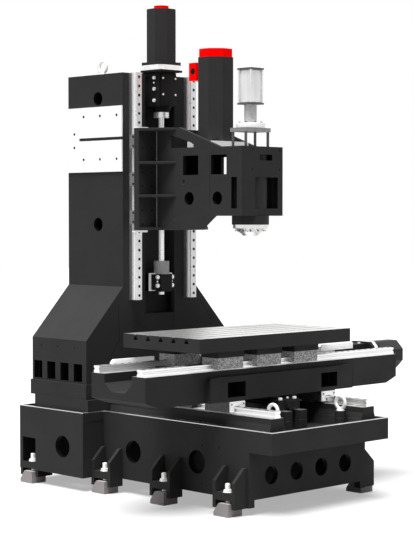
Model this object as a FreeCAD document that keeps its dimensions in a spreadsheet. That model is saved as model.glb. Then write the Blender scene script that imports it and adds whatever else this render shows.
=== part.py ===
import FreeCAD, Part
import math
import os
import Sketcher

# Vertical machining centre, bare of its guarding: base, column, saddle, table and spindle head.
# X runs along the table, -Y is the operator's side, Z is up. Lengths are in millimetres.
# Sizes are written from the spindle plane (X), the middle of the base (Y) and the floor (Z).
# Every piece is then moved so that the origin lies under the middle of the whole machine.

doc = FreeCAD.newDocument("machine")

SIZES = [
    # Base casting
    ("base_length", 1920), ("base_rear", 960), ("base_width", 946), ("rear_width", 1262), ("rear_front", 377),
    ("rim_top", 456), ("rim_wall", 14), ("tray_floor", 404), ("tray_plate", 34),
    ("skirt_bottom", 336), ("skirt_overhang", 168), ("wall_bottom", 80), ("foot_bottom", 40),
    ("base_wall", 30), ("base_rib", 30), ("base_rib_place", -480), ("bond", 1),
    ("side_hole", 64), ("side_hole_height", 245), ("side_hole_front", -396), ("side_hole_middle", 122),
    ("rear_hole_place", 561), ("corner_leg", 43), ("front_hole", 50), ("front_hole_height", 200), ("front_hole_pitch", 200),
    # Brackets over the levelling pads
    ("foot_inset", 263), ("foot_last", 295), ("foot_reach", 95), ("foot_gap", 120), ("gusset", 22),
    ("gusset_low", 182), ("gusset_high", 253), ("gusset_flat", 20), ("shelf_top", 124), ("shelf_bottom", 83),
    ("rear_foot_place", 872), ("rear_window_top", 268), ("rear_window_roof", 20), ("foot_socket_depth", 110),
    ("stud_hole", 14), ("stud_from_wall", 63),
    # Levelling pads and bolts
    ("pad_length", 110), ("pad_width", 104), ("pad_height", 71), ("pad_edge", 20), ("pad_slope", 38),
    ("rear_pad_inset", 29), ("stud", 10), ("stud_top", 178), ("nut", 23), ("nut_height", 18),
    # Ways of the base
    ("way_centre", 370), ("way_width", 96), ("way_top", 518), ("way_flare", 26), ("way_lip", 30), ("y_rail_inset", 58),
    ("y_rail_end", 172), ("pedestal_width", 1188), ("pedestal_front", 375), ("pedestal_rear", 862),
    ("pedestal_top", 524), ("core_half", 450), ("core_front", 480), ("core_rear", 820),
    ("eye_post", 32), ("eye_post_across", 274), ("eye_post_inset", 181),
    ("eye_post_top", 494), ("eye_foot", 22), ("eye_foot_height", 12), ("eye_ring", 35), ("eye_rod", 8),
    ("bearing_post_gap", 64), ("bearing_post_width", 56), ("bearing_post_top", 510),
    ("bearing_post_inset", 263), ("bearing_post_depth", 115),
    # Guide rails and carriages
    ("rail_width", 45), ("rail_height", 38), ("rail_waist", 31), ("rail_foot", 14), ("rail_neck_low", 19),
    ("rail_neck_high", 23), ("rail_head", 28), ("rail_chamfer", 2), ("block_width", 120), ("x_block_length", 192),
    ("y_block_length", 186), ("z_block_length", 82), ("block_top", 70), ("block_lift", 8),
    ("running_gap", 0.3), ("z_block_width", 98),
    # Saddle
    ("saddle_half_length", 1013), ("saddle_width", 424), ("saddle_place", -365), ("saddle_top", 754),
    ("saddle_bottom", 588), ("saddle_end_bottom", 622), ("saddle_chamfer", 93), ("saddle_nose", 30),
    ("saddle_nose_half", 580), ("saddle_nose_top", 722), ("saddle_nose_round", 25), ("saddle_wall", 26), ("saddle_rib", 26),
    ("x_rail_spread", 170), ("trough_half", 108), ("trough_floor_half", 53), ("trough_knee", 706),
    ("trough_floor", 661), ("saddle_window_in", 307), ("saddle_window_out", 444),
    ("saddle_window_low", 608), ("saddle_window_high", 690), ("saddle_cavity_half", 870),
    ("y_block_spread", 144),
    # Table
    ("table_length", 1200), ("table_width", 600), ("table_top", 940), ("table_bottom", 864),
    ("table_place", -111), ("slot_pitch", 100), ("slot_neck", 18), ("slot_neck_depth", 18),
    ("slot_wide", 30), ("slot_depth", 32), ("x_block_spread", 300), ("table_pad_length", 200),
    ("table_pad_width", 130),
    # Screws
    ("screw", 16), ("y_screw_height", 541), ("y_screw_cover", 9), ("y_nut_place", -225),
    ("y_motor_face", 156), ("y_motor_length", 188), ("y_motor", 150),
    ("y_bearing_half_height", 26), ("y_bearing_cap", 32), ("y_bearing_cap_thick", 22), ("y_bearing_depth", 60),
    ("bracket_plate", 28), ("motor_clearance", 12), ("x_bracket_length", 200), ("x_screw_inset", 300),
    ("x_bearing_inset", 313), ("x_bearing_length", 60), ("x_bearing_rise", 45), ("x_bracket_drop", 8), ("x_screw_height", 731), ("z_screw_place", 396), ("nut_flange", 46),
    ("nut_body", 35), ("nut_bore", 16.5), ("nut_length", 90),
    # Motors
    ("motor", 170), ("motor_length", 248), ("z_motor_length", 331), ("motor_flange", 180),
    ("motor_flange_thick", 17), ("motor_flange_lip", 10), ("motor_flange_corner", 17),
    ("flange_corner", 25), ("motor_cap", 44), ("motor_cap_height", 22), ("motor_corner", 50),
    ("adapter_thick", 29), ("x_motor_face", 960),
    # Column
    ("column_width", 588), ("column_front", 411), ("column_rear", 907), ("column_top", 2418),
    ("column_wall", 30), ("flare_top", 1166), ("flare_bottom", 862), ("flare_width", 1150),
    ("flange_width", 1180), ("flange_top", 611), ("column_foot_front", 397), ("channel_half", 118),
    ("channel_depth", 85), ("channel_bottom", 1000), ("z_rail_seat", 25), ("z_rail_spread", 221), ("z_rail_bottom", 1089),
    ("column_hole", 40), ("column_hole_place", 632), ("column_hole_low", 1530), ("column_hole_high", 2275),
    ("vent_first", 487), ("vent_pitch", 122), ("vent_width", 76), ("vent_low", 621), ("vent_high", 725),
    # Tool changer pad on the column's left side
    ("changer_low", 1841), ("changer_high", 2226), ("changer_thick", 8), ("changer_slot", 18),
    ("changer_slot_height", 2036), ("changer_slot_end", 798), ("changer_hole", 6), ("changer_hole_depth", 25), ("changer_hole_front", 456),
    ("changer_hole_middle", 605.5), ("changer_hole_rear", 755), ("changer_hole_low", 1916),
    ("changer_hole_high", 2172), ("changer_pair", 841), ("changer_pair_low", 1990), ("changer_pair_high", 2071),
    # Head screw and its supports
    ("z_screw_bottom", 1112), ("z_bearing_bottom", 1130), ("z_bearing_top", 1234), ("z_bearing_half", 45),
    ("bumper", 46), ("bumper_top", 1312), ("z_bracket_half", 65), ("z_bracket_front", 342),
    ("z_bracket_low", 2230), ("z_bracket_top", 2432), ("z_plate_half", 88), ("z_plate_thick", 12), ("z_funnel", 61),
    ("z_ring", 46), ("z_ring_low", 2163), ("z_ring_high", 2196), ("z_block_middle", 1794),
    ("z_block_pitch", 221), ("column_eye_across", 255),
    # Spindle head
    ("arm_half", 166), ("arm_front", -436), ("arm_bottom", 1582), ("arm_top", 1970),
    ("arm_slope_front", -262), ("arm_slope_rear", 69), ("head_top", 2090), ("head_bottom", 1498),
    ("head_heel", 210), ("arm_heel", 93), ("flange_left", 290), ("flange_right", 266), ("flange_thick", 40),
    ("arm_wall", 24), ("nut_lug_half", 60), ("nut_lug_low", 1775), ("nut_lug_high", 1880),
    ("nut_lug_rear", 452), ("arm_back", 245), ("spindle_place", -343),
    ("motor_plate_top", 2006), ("motor_plate_front", -190), ("motor_plate_rear", 24), ("plate_gap", 0.5),
    ("gap_front", -52), ("gap_middle", -20), ("gap_rear", 135), ("gap_low", 1972), ("gap_front_top", 1988),
    ("gap_middle_top", 2004), ("gap_rear_top", 2047), ("drain_place", 29), ("drain_height", 1780), ("drain", 7),
    ("hatch_left", -21), ("hatch_right", 81), ("hatch_low", 1892),
    ("window_low", 1815), ("window_high", 1925), ("window_rear", 34), ("window_rear_end", -91),
    ("window_front", -194), ("window_front_end", -317), ("arm_hole", 38), ("arm_hole_height", 1681),
    ("arm_hole_rear", -16), ("arm_hole_front", -244), ("slot_low", 1623), ("slot_high", 1798),
    ("slot_rear", -355), ("slot_front", -399), ("mouth_left", -57), ("mouth_right", 126),
    ("head_rib", 17), ("head_rib_reach", 184), ("head_rib_tip", 6), ("head_rib_low", 1688),
    ("head_rib_high", 1880), ("front_hole_low", 1842), ("front_hole_top", 1952), ("front_hole_left", -80),
    ("front_hole_right", 140), ("cover_hole", 4), ("cover_hole_depth", 14),
    # Spindle, its motor and the tool release cylinder
    ("cartridge", 92.5), ("housing", 105), ("housing_bottom", 1532), ("nose_flange", 98),
    ("nose_flange_low", 1512), ("nose_ring", 66), ("nose_ring_low", 1488), ("nose", 60), ("nose_face", 44),
    ("nose_bottom", 1471), ("taper_mouth", 35),
    ("taper_depth", 100), ("taper_end", 20), ("spindle_motor", 200), ("spindle_motor_place", -64),
    ("spindle_motor_corner", 58), ("spindle_motor_top", 2488), ("spindle_cap", 192), ("spindle_cap_top", 2536), ("terminal_width", 120),
    ("terminal_depth", 60), ("terminal_low", 2362), ("terminal_high", 2465),
    ("release_plate_low", 2053), ("release_plate_high", 2076), ("release_plate_width", 198),
    ("release_plate_depth", 126), ("release_post", 8), ("release_post_across", 89),
    ("release_post_along", 50), ("release_disc", 82), ("release_disc_high", 2104),
    ("release_neck", 35), ("release_neck_high", 2207), ("release_flange", 107),
    ("release_flange_thick", 10), ("release_body", 88), ("release_top", 2412),
]

sheet = doc.addObject("Spreadsheet::Sheet", "sizes")
for row, (alias, value) in enumerate(SIZES, start=1):
    sheet.set("A%d" % row, alias)
    sheet.set("B%d" % row, str(value))
    sheet.setAlias("B%d" % row, alias)
doc.recompute()


class Length:
    """A length, with the words that tie it to the sheet."""

    def __init__(self, value, words):
        self.value = value
        self.words = words

    def __add__(self, other):
        other = length(other)
        return Length(self.value + other.value, "(%s + %s)" % (self.words, other.words))

    def __sub__(self, other):
        other = length(other)
        return Length(self.value - other.value, "(%s - %s)" % (self.words, other.words))

    def __radd__(self, other):
        return length(other) + self

    def __rsub__(self, other):
        return length(other) - self

    def __mul__(self, factor):
        return Length(self.value * factor, "(%s * %s)" % (self.words, factor))

    def __truediv__(self, factor):
        return Length(self.value / factor, "(%s / %s)" % (self.words, factor))

    def __neg__(self):
        return Length(-self.value, "(0 - %s)" % self.words)


def length(value):
    if isinstance(value, Length):
        return value
    return Length(value, repr(value))


class Sizes:
    """Reads the sheet by alias: size.base_length is that cell."""

    def __getattr__(self, alias):
        return Length(float(sheet.get(alias)), "sizes." + alias)


size = Sizes()
ZERO = Length(0.0, "0")

# What reaches furthest along X: the saddle's left end and the table motor's right end.
right_reach = size.x_motor_face + size.adapter_thick + size.motor_length
origin_across = (right_reach - size.saddle_half_length) / 2
origin_along = size.base_rear - size.base_length / 2

PLANES = {"top": "XY_Plane", "front": "XZ_Plane", "side": "YZ_Plane"}


def box(low, high):
    """Corners of an upright rectangle, from its low and high corner."""
    return [(low[0], low[1]), (high[0], low[1]), (high[0], high[1]), (low[0], high[1])]


def disc(across, up, radius):
    return (across, up, radius)


class Piece:
    """One named body, padded and cut from sketches that lie in the planes top, front and side.

    A sketch on top is drawn in X and Y, on front in X and Z, and on side in Y and Z.
    """

    def __init__(self, name):
        self.name = name
        self.count = 0
        self.body = doc.addObject("PartDesign::Body", name)
        self.body.Label = name
        self.body.setExpression("Placement.Base.x", (-origin_across).words)
        self.body.setExpression("Placement.Base.y", (-origin_along).words)
        pieces.append(self)

    def label(self, word):
        self.count += 1
        return "%s_%s_%d" % (self.name, word, self.count)

    def sketch(self, plane, place, loops, origin=(ZERO, ZERO)):
        """A sketch of closed loops: lists of corners, or discs."""
        drawing = self.body.newObject("Sketcher::SketchObject", self.label("sketch"))
        role = PLANES[plane]
        support = [item for item in self.body.Origin.OriginFeatures if item.Role == role][0]
        drawing.AttachmentSupport = [(support, "")]
        drawing.MapMode = "FlatFace"
        place = length(place)
        if plane == "front":
            place = -place
        for axis, value in zip("xyz", (origin[0], origin[1], place)):
            drawing.setExpression("AttachmentOffset.Base." + axis, length(value).words)
        for loop in loops:
            if isinstance(loop, tuple):
                self.draw_disc(drawing, loop)
            else:
                self.draw_corners(drawing, loop)
        return drawing

    def pin(self, drawing, kind, geometry, point, value):
        value = length(value)
        number = drawing.addConstraint(Sketcher.Constraint(kind, -1, 1, geometry, point, value.value))
        drawing.setExpression("Constraints[%d]" % number, value.words)

    def draw_corners(self, drawing, corners):
        corners = [(length(across), length(up)) for across, up in corners]
        points = [FreeCAD.Vector(across.value, up.value, 0) for across, up in corners]
        lines = [Part.LineSegment(start, end) for start, end in zip(points, points[1:] + points[:1])]
        first = drawing.addGeometry(lines, False)[0]
        count = len(corners)
        for number, (across, up) in enumerate(corners):
            following = first + (number + 1) % count
            drawing.addConstraint(Sketcher.Constraint("Coincident", first + number, 2, following, 1))
            self.pin(drawing, "DistanceX", first + number, 1, across)
            self.pin(drawing, "DistanceY", first + number, 1, up)

    def draw_disc(self, drawing, loop):
        across, up, radius = [length(value) for value in loop]
        centre = FreeCAD.Vector(across.value, up.value, 0)
        circle = Part.Circle(centre, FreeCAD.Vector(0, 0, 1), radius.value)
        number = drawing.addGeometry(circle, False)
        self.pin(drawing, "DistanceX", number, 3, across)
        self.pin(drawing, "DistanceY", number, 3, up)
        rule = drawing.addConstraint(Sketcher.Constraint("Radius", number, radius.value))
        drawing.setExpression("Constraints[%d]" % rule, radius.words)

    def swept(self, kind, plane, start, end, loops):
        start, end = length(start), length(end)
        place = end if plane == "front" else start
        feature = self.body.newObject("PartDesign::" + kind, self.label(kind.lower()))
        self.body.Tip = feature
        feature.Profile = self.sketch(plane, place, loops)
        feature.Type = 0
        feature.setExpression("Length", (end - start).words)
        return feature

    def pad(self, plane, start, end, *loops):
        """Adds the loops, from start to end along the plane's normal."""
        return self.swept("Pad", plane, start, end, loops)

    def cut(self, plane, start, end, *loops):
        """Takes the loops away, from start to end along the plane's normal."""
        feature = self.swept("Pocket", plane, start, end, loops)
        feature.Reversed = True
        return feature

    def turned(self, kind, plane, place, origin, about, corners):
        feature = self.body.newObject("PartDesign::" + kind, self.label(kind.lower()))
        self.body.Tip = feature
        drawing = self.sketch(plane, place, [corners], origin)
        feature.Profile = drawing
        feature.ReferenceAxis = (drawing, [about + "_Axis"])
        feature.Angle = 360
        return feature

    def turn(self, plane, place, origin, about, corners):
        """Adds the corners turned about an axis through origin, V upright or H level in the sketch."""
        return self.turned("Revolution", plane, place, origin, about, corners)

    def groove(self, plane, place, origin, about, corners):
        """Takes the corners away, turned in the same way."""
        return self.turned("Groove", plane, place, origin, about, corners)


pieces = []


def mirrored(value):
    """The value on the left and on the right of the spindle plane."""
    return [-value, value]


def octagon(across, up, width, corner):
    """A square with cut corners, drawn about its centre."""
    half = width / 2
    inner = half - corner
    return [
        (across - half, up - inner), (across - inner, up - half), (across + inner, up - half),
        (across + half, up - inner), (across + half, up + inner), (across + inner, up + half),
        (across - inner, up + half), (across - half, up + inner),
    ]


def hexagon(across, up, radius):
    """A hexagon about its centre, from the distance of its corners."""
    return [(across + radius * round(math.cos(math.radians(turn)), 4),
             up + radius * round(math.sin(math.radians(turn)), 4)) for turn in range(0, 360, 60)]


def across_outline(centre, seat, up, corners):
    """Points of a rail or carriage section: offsets from its centre line and from its seat."""
    return [(centre + across, seat + rise * up) for across, rise in corners]


def rail_section():
    half, waist = size.rail_width / 2, size.rail_waist / 2
    right = [
        (half, ZERO), (half, size.rail_foot), (waist, size.rail_neck_low), (waist, size.rail_neck_high),
        (half, size.rail_head), (half, size.rail_height - size.rail_chamfer),
        (half - size.rail_chamfer, size.rail_height),
    ]
    left = [(-across, rise) for across, rise in reversed(right)]
    return right + left


def block_section(width):
    """A carriage: a block with the rail's section, and the running gap, taken out of its underside."""
    half = width / 2
    gap = size.running_gap
    outer, waist = size.rail_width / 2 + gap, size.rail_waist / 2 + gap
    right = [(half, size.block_lift), (half, size.block_top)]
    inside = [
        (outer, size.block_lift), (outer, size.rail_foot + gap), (waist, size.rail_neck_low + gap),
        (waist, size.rail_neck_high - gap), (outer, size.rail_head - gap),
        (outer, size.rail_height + gap),
    ]
    left_outer = [(-across, rise) for across, rise in reversed(right)]
    left_inside = [(-across, rise) for across, rise in inside]
    return right + left_outer + left_inside + list(reversed(inside))


base_rear = size.base_rear
base_front = base_rear - size.base_length
front_wall = base_front + size.skirt_overhang
base_half = size.base_width / 2
rear_half = size.rear_width / 2
foot_outer = base_half + size.foot_reach
foot_first = base_front + size.foot_inset
foot_places = [foot_first, (foot_first + size.foot_last) / 2, size.foot_last]
bearing_front = base_front + size.bearing_post_inset + size.bearing_post_depth - size.y_bearing_depth
z_seat = size.column_front - size.z_rail_seat
flange_rear = z_seat - size.block_top
flange_front = flange_rear - size.flange_thick


def base_outline(front, inset):
    """Top view of the base: a narrow front part and a wider block under the column."""
    narrow, wide = base_half - inset, rear_half - inset
    step, rear = size.rear_front + inset, base_rear - inset
    return [
        (-narrow, front), (narrow, front), (narrow, step), (wide, step), (wide, rear), (-wide, rear),
        (-wide, step), (-narrow, step),
    ]


def base_casting():
    base = Piece("base_casting")
    base.pad("top", size.wall_bottom, size.rim_top, base_outline(front_wall, ZERO))
    base.pad("top", size.skirt_bottom, size.rim_top, box((-base_half, base_front), (base_half, front_wall)))
    inside = size.base_wall
    ceiling = size.tray_floor - size.tray_plate
    rib = size.base_rib / 2
    rib_place = size.base_rib_place
    inner = base_half - inside
    base.cut(
        "top", size.wall_bottom, ceiling,
        box((-inner, front_wall + inside), (inner, rib_place - rib)),
        box((-inner, rib_place + rib), (inner, size.rear_front)),
        box((-rear_half + inside, size.rear_front + inside), (rear_half - inside, base_rear - inside)),
    )
    base.cut("top", size.tray_floor, size.rim_top, base_outline(base_front + size.rim_wall, size.rim_wall))
    ways(base)
    pedestal(base)
    feet(base)
    casting_holes(base)
    front_posts(base)


def ways(base):
    """Two raised ways with sloping flanks carry the saddle's guide rails."""
    half = size.way_width / 2
    flare = half + size.way_flare
    for centre in mirrored(size.way_centre):
        section = [
            (centre - flare, size.tray_floor - size.bond), (centre + flare, size.tray_floor - size.bond),
            (centre + half, size.way_top - size.way_lip), (centre + half, size.way_top),
            (centre - half, size.way_top), (centre - half, size.way_top - size.way_lip),
        ]
        base.pad("front", base_front + size.y_rail_inset, size.pedestal_front + size.bond, section)


def pedestal(base):
    half = size.pedestal_width / 2
    base.pad(
        "top", size.tray_floor - size.bond, size.pedestal_top,
        box((-half, size.pedestal_front), (half, size.pedestal_rear)),
    )
    inside = size.base_wall
    base.cut(
        "top", size.tray_floor - size.tray_plate - size.bond, size.pedestal_top - size.tray_plate,
        box((-half + inside, size.rear_front + inside), (half - inside, size.pedestal_rear - inside)),
    )
    base.cut(
        "top", size.pedestal_top - size.tray_plate, size.pedestal_top,
        box((-size.core_half, size.core_front), (size.core_half, size.core_rear)),
    )


def feet(base):
    """Sockets over the rear levelling pads, and short legs under the front corners."""
    half_gap = size.foot_gap / 2
    for sign in (-1, 1):
        place = size.rear_foot_place
        inner = (rear_half - size.foot_socket_depth) * sign
        edge = rear_half * sign
        low_x, high_x = (edge, inner) if sign < 0 else (inner, edge)
        near, far = place - half_gap, place + half_gap
        base.pad(
            "top", size.foot_bottom, size.rear_window_top + size.rear_window_roof,
            box((low_x, near - size.gusset), (high_x, far + size.gusset)),
        )
        base.cut("top", size.foot_bottom, size.shelf_bottom, box((low_x, near), (high_x, far)))
        base.cut("top", size.shelf_top, size.rear_window_top, box((low_x, near), (high_x, far)))
    leg = size.corner_leg
    base.pad(
        "top", size.foot_bottom, size.wall_bottom + size.bond,
        *[box((low_x, front_wall), (low_x + leg, front_wall + leg)) for low_x in (-base_half, base_half - leg)],
    )
    rear_studs = [disc(across, size.rear_foot_place, size.stud_hole)
                  for across in mirrored(rear_half - size.rear_pad_inset)]
    base.cut("top", size.shelf_bottom, size.shelf_top, *rear_studs)


def foot_brackets():
    """Pairs of gussets with a shelf between them, over the six levelling pads along the sides."""
    brackets = Piece("foot_brackets")
    half_gap = size.foot_gap / 2
    for sign in (-1, 1):
        wall = base_half * sign
        outer = foot_outer * sign
        low_x, high_x = (outer, wall) if sign < 0 else (wall, outer)
        gusset = [
            (wall, size.foot_bottom), (outer, size.foot_bottom), (outer, size.gusset_low),
            (wall + size.gusset_flat * sign, size.gusset_high), (wall, size.gusset_high),
        ]
        for place in foot_places:
            for start in (place - half_gap - size.gusset, place + half_gap):
                brackets.pad("front", start, start + size.gusset, gusset)
            brackets.pad(
                "top", size.shelf_bottom, size.shelf_top,
                box((low_x, place - half_gap), (high_x, place + half_gap)),
                disc((base_half + size.stud_from_wall) * sign, place, size.stud_hole),
            )


def stud_places():
    """Centres of the eight levelling bolts and pads."""
    places = []
    for sign in (-1, 1):
        across = (base_half + size.stud_from_wall) * sign
        places += [(across, place) for place in foot_places]
        places.append(((rear_half - size.rear_pad_inset) * sign, size.rear_foot_place))
    return places


def casting_holes(base):
    """Core holes through the side walls and the front wall."""
    inside = base_half - size.base_wall
    height = size.side_hole_height
    holes = [disc(place, height, size.side_hole) for place in (size.side_hole_front, size.side_hole_middle)]
    base.cut("side", -base_half, -inside, *holes)
    base.cut("side", inside, base_half, *holes)
    rear = disc(size.rear_hole_place, height, size.side_hole)
    base.cut("side", -rear_half, -rear_half + size.base_wall, rear)
    base.cut("side", rear_half - size.base_wall, rear_half, rear)
    row = [disc(size.front_hole_pitch * step, size.front_hole_height, size.front_hole)
           for step in (-1.5, -0.5, 0.5, 1.5)]
    base.cut("front", front_wall, front_wall + size.base_wall, *row)


def front_posts(base):
    """Round posts for the lifting eyes and two posts for the saddle screw's bearing."""
    low = size.tray_floor - size.bond
    eye_place = base_front + size.eye_post_inset
    eyes = [disc(across, eye_place, size.eye_post) for across in mirrored(size.eye_post_across)]
    base.pad("top", low, size.eye_post_top, *eyes)
    start = size.bearing_post_gap / 2
    end = start + size.bearing_post_width
    front = base_front + size.bearing_post_inset
    rear = front + size.bearing_post_depth
    base.pad(
        "top", low, size.bearing_post_top,
        box((-end, front), (-start, rear)),
        box((start, front), (end, rear)),
    )


def levelling_pads():
    pads = Piece("levelling_pads")
    half = size.pad_width / 2
    for across, place in stud_places():
        near, far = place - size.pad_length / 2, place + size.pad_length / 2
        section = [
            (near, ZERO), (far, ZERO), (far, size.pad_edge), (far - size.pad_slope, size.pad_height),
            (near, size.pad_height),
        ]
        pads.pad("side", across - half, across + half, section)


def levelling_bolts():
    bolts = Piece("levelling_bolts")
    for across, place in stud_places():
        bolts.pad("top", size.pad_height, size.stud_top, disc(across, place, size.stud))
        bolts.pad("top", size.shelf_top, size.shelf_top + size.nut_height, hexagon(across, place, size.nut))


def y_rails():
    rails = Piece("y_rails")
    sections = [across_outline(centre, size.way_top, 1, rail_section()) for centre in mirrored(size.way_centre)]
    rails.pad("front", base_front + size.y_rail_inset, size.y_rail_end, *sections)


def y_blocks():
    blocks = Piece("y_blocks")
    sections = [
        across_outline(centre, size.way_top, 1, block_section(size.block_width))
        for centre in mirrored(size.way_centre)
    ]
    for shift in mirrored(size.y_block_spread):
        start = size.saddle_place + shift - size.y_block_length / 2
        blocks.pad("front", start, start + size.y_block_length, *sections)


def y_drive():
    """The saddle's screw, its front bearing, its motor and the plate that carries the motor."""
    height = size.y_screw_height
    front = bearing_front
    rear = front + size.y_bearing_depth
    screw_front = front - size.y_bearing_cap_thick + size.y_screw_cover
    screw = Piece("y_screw")
    screw.pad("front", screw_front, size.y_motor_face, disc(ZERO, height, size.screw))

    bearing = Piece("y_bearing_block")
    reach = size.bearing_post_gap / 2 + size.bearing_post_width
    half_height = size.y_bearing_half_height
    bearing.pad("top", size.bearing_post_top, height + half_height, box((-reach, front), (reach, rear)))
    bearing.pad("front", front - size.y_bearing_cap_thick, rear, disc(ZERO, height, size.y_bearing_cap))
    bearing.cut("front", screw_front, rear, disc(ZERO, height, size.screw))

    bracket = Piece("y_motor_bracket")
    thick = size.bracket_plate
    half = size.motor_flange / 2
    face = size.y_motor_face
    bracket.pad("front", face, face + thick, octagon(ZERO, height, size.motor_flange, size.flange_corner))
    bracket.pad("top", size.tray_floor, height - half, box((-half, face), (half, face + thick)))
    motor("y_motor", "front", face + thick, size.y_motor_length, ZERO, height, size.y_motor)


def motor(name, plane, start, span, across, up, width):
    """A motor body of square section with broad cut corners, on a thin square flange."""
    body = Piece(name)
    flange_end = start + size.motor_flange_thick
    flange = octagon(across, up, width + size.motor_flange_lip, size.motor_flange_corner)
    barrel = octagon(across, up, width, size.motor_corner)
    body.pad(plane, start, flange_end, flange)
    body.pad(plane, flange_end, start + span, barrel)
    return body


def saddle():
    """A long box casting with a trough along its top for the table's screw."""
    casting = Piece("saddle_casting")
    half = size.saddle_half_length
    place = size.saddle_place
    front = place - size.saddle_width / 2
    rear = place + size.saddle_width / 2
    inner_end = half - size.saddle_chamfer
    outline = [
        (-half, size.saddle_end_bottom), (-inner_end, size.saddle_bottom), (inner_end, size.saddle_bottom),
        (half, size.saddle_end_bottom), (half, size.saddle_top), (-half, size.saddle_top),
    ]
    casting.pad("front", front, rear, outline)
    nose = size.saddle_nose_half
    casting.pad(
        "front", front - size.saddle_nose, front,
        rounded_top(nose, size.saddle_bottom, size.saddle_nose_top, size.saddle_nose_round),
    )
    wall = size.saddle_wall
    rib = size.saddle_rib
    pad_end = size.way_centre + size.block_width / 2 + rib
    pad_start = size.way_centre - size.block_width / 2 - rib
    low, window_low = size.saddle_bottom, size.saddle_window_low
    end = size.saddle_cavity_half
    boss = size.nut_flange + rib
    saddle_cell(casting, -boss, boss, low)
    for sign in (-1, 1):
        saddle_cell(casting, pad_end * sign, end * sign, low)
        saddle_cell(casting, (pad_start + rib) * sign, (pad_end - rib) * sign, window_low)
        saddle_cell(casting, (boss + rib) * sign, pad_start * sign, low)
    casting.pad(
        "top", size.trough_floor - wall, size.saddle_top,
        box((-boss, size.y_nut_place - boss), (boss, rear - wall)),
    )
    trough = [
        (place - size.trough_half, size.saddle_top), (place - size.trough_half, size.trough_knee),
        (place - size.trough_floor_half, size.trough_floor),
        (place + size.trough_floor_half, size.trough_floor),
        (place + size.trough_half, size.trough_knee), (place + size.trough_half, size.saddle_top),
    ]
    casting.cut("side", -half, half, trough)
    windows = [
        box((across_low, window_low), (across_high, size.saddle_window_high))
        for across_low, across_high in (
            (-size.saddle_window_out, -size.saddle_window_in), (size.saddle_window_in, size.saddle_window_out))
    ]
    casting.cut("front", front - size.saddle_nose, front + wall, *windows)
    casting.cut("front", rear - wall, rear, *windows)
    pocket = size.motor_flange / 2 + size.motor_clearance
    casting.cut(
        "top", size.x_screw_height - pocket, size.saddle_top,
        box((size.x_motor_face - size.bracket_plate - size.motor_clearance, place - pocket), (half, place + pocket)),
    )


def rounded_top(half, low, high, radius):
    """An upright rectangle about the middle, with its two top corners rounded."""
    right = []
    for turn in (0, 30, 60, 90):
        inward = radius * round(1 - math.cos(math.radians(turn)), 4)
        down = radius * round(1 - math.sin(math.radians(turn)), 4)
        right.append((half - inward, high - down))
    left = [(-across, up) for across, up in reversed(right)]
    return [(-half, low), (half, low)] + right + left


def saddle_cell(casting, start, end, low):
    """One cell of the saddle's hollow: its roof follows the trough at one wall's distance."""
    if start.value > end.value:
        start, end = end, start
    wall, place = size.saddle_wall, size.saddle_place
    reach = size.saddle_width / 2 - wall
    shoulder = size.trough_half + wall
    knee = size.trough_floor_half + wall / 2
    roof, floor = size.saddle_top - wall, size.trough_floor - wall
    casting.cut("side", start, end, [
        (place - reach, low), (place + reach, low), (place + reach, roof), (place + shoulder, roof),
        (place + shoulder, size.trough_knee - wall / 2), (place + knee, floor), (place - knee, floor),
        (place - shoulder, size.trough_knee - wall / 2), (place - shoulder, roof), (place - reach, roof),
    ])


def x_rails():
    rails = Piece("x_rails")
    half = size.saddle_half_length
    centres = [size.saddle_place - size.x_rail_spread, size.saddle_place + size.x_rail_spread]
    sections = [across_outline(centre, size.saddle_top, 1, rail_section()) for centre in centres]
    rails.pad("side", -half, half, *sections)


def x_blocks():
    blocks = Piece("x_blocks")
    centres = [size.saddle_place - size.x_rail_spread, size.saddle_place + size.x_rail_spread]
    sections = [across_outline(centre, size.saddle_top, 1, block_section(size.block_width)) for centre in centres]
    for shift in (-size.x_block_spread, ZERO, size.x_block_spread):
        start = size.table_place + shift - size.x_block_length / 2
        blocks.pad("side", start, start + size.x_block_length, *sections)


def x_drive():
    """The table's screw with its end bearing, motor bracket, adapter plate and motor."""
    height = size.x_screw_height
    place = size.saddle_place
    half = size.saddle_half_length
    face = size.x_motor_face
    bore = disc(place, height, size.screw)
    screw = Piece("x_screw")
    screw.pad("side", -half + size.x_screw_inset, face, bore)

    bearing = Piece("x_bearing_block")
    floor_half = size.trough_floor_half
    start = -half + size.x_bearing_inset
    bearing.pad(
        "side", start, start + size.x_bearing_length,
        box((place - floor_half, size.trough_floor), (place + floor_half, height + size.x_bearing_rise)), bore,
    )

    bracket = Piece("x_motor_bracket")
    plate = octagon(place, height, size.motor_flange, size.flange_corner)
    neck = face - size.bracket_plate
    bracket.pad("side", neck, face, plate, bore)
    bracket.pad(
        "side", face - size.x_bracket_length, neck,
        box((place - floor_half, size.trough_floor),
            (place + floor_half, height + size.motor_flange / 2 - size.x_bracket_drop)),
        bore,
    )

    adapter = Piece("x_motor_adapter")
    adapter.pad("side", face, face + size.adapter_thick, plate)
    motor("x_motor", "side", face + size.adapter_thick, size.motor_length, place, height, size.motor)


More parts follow.
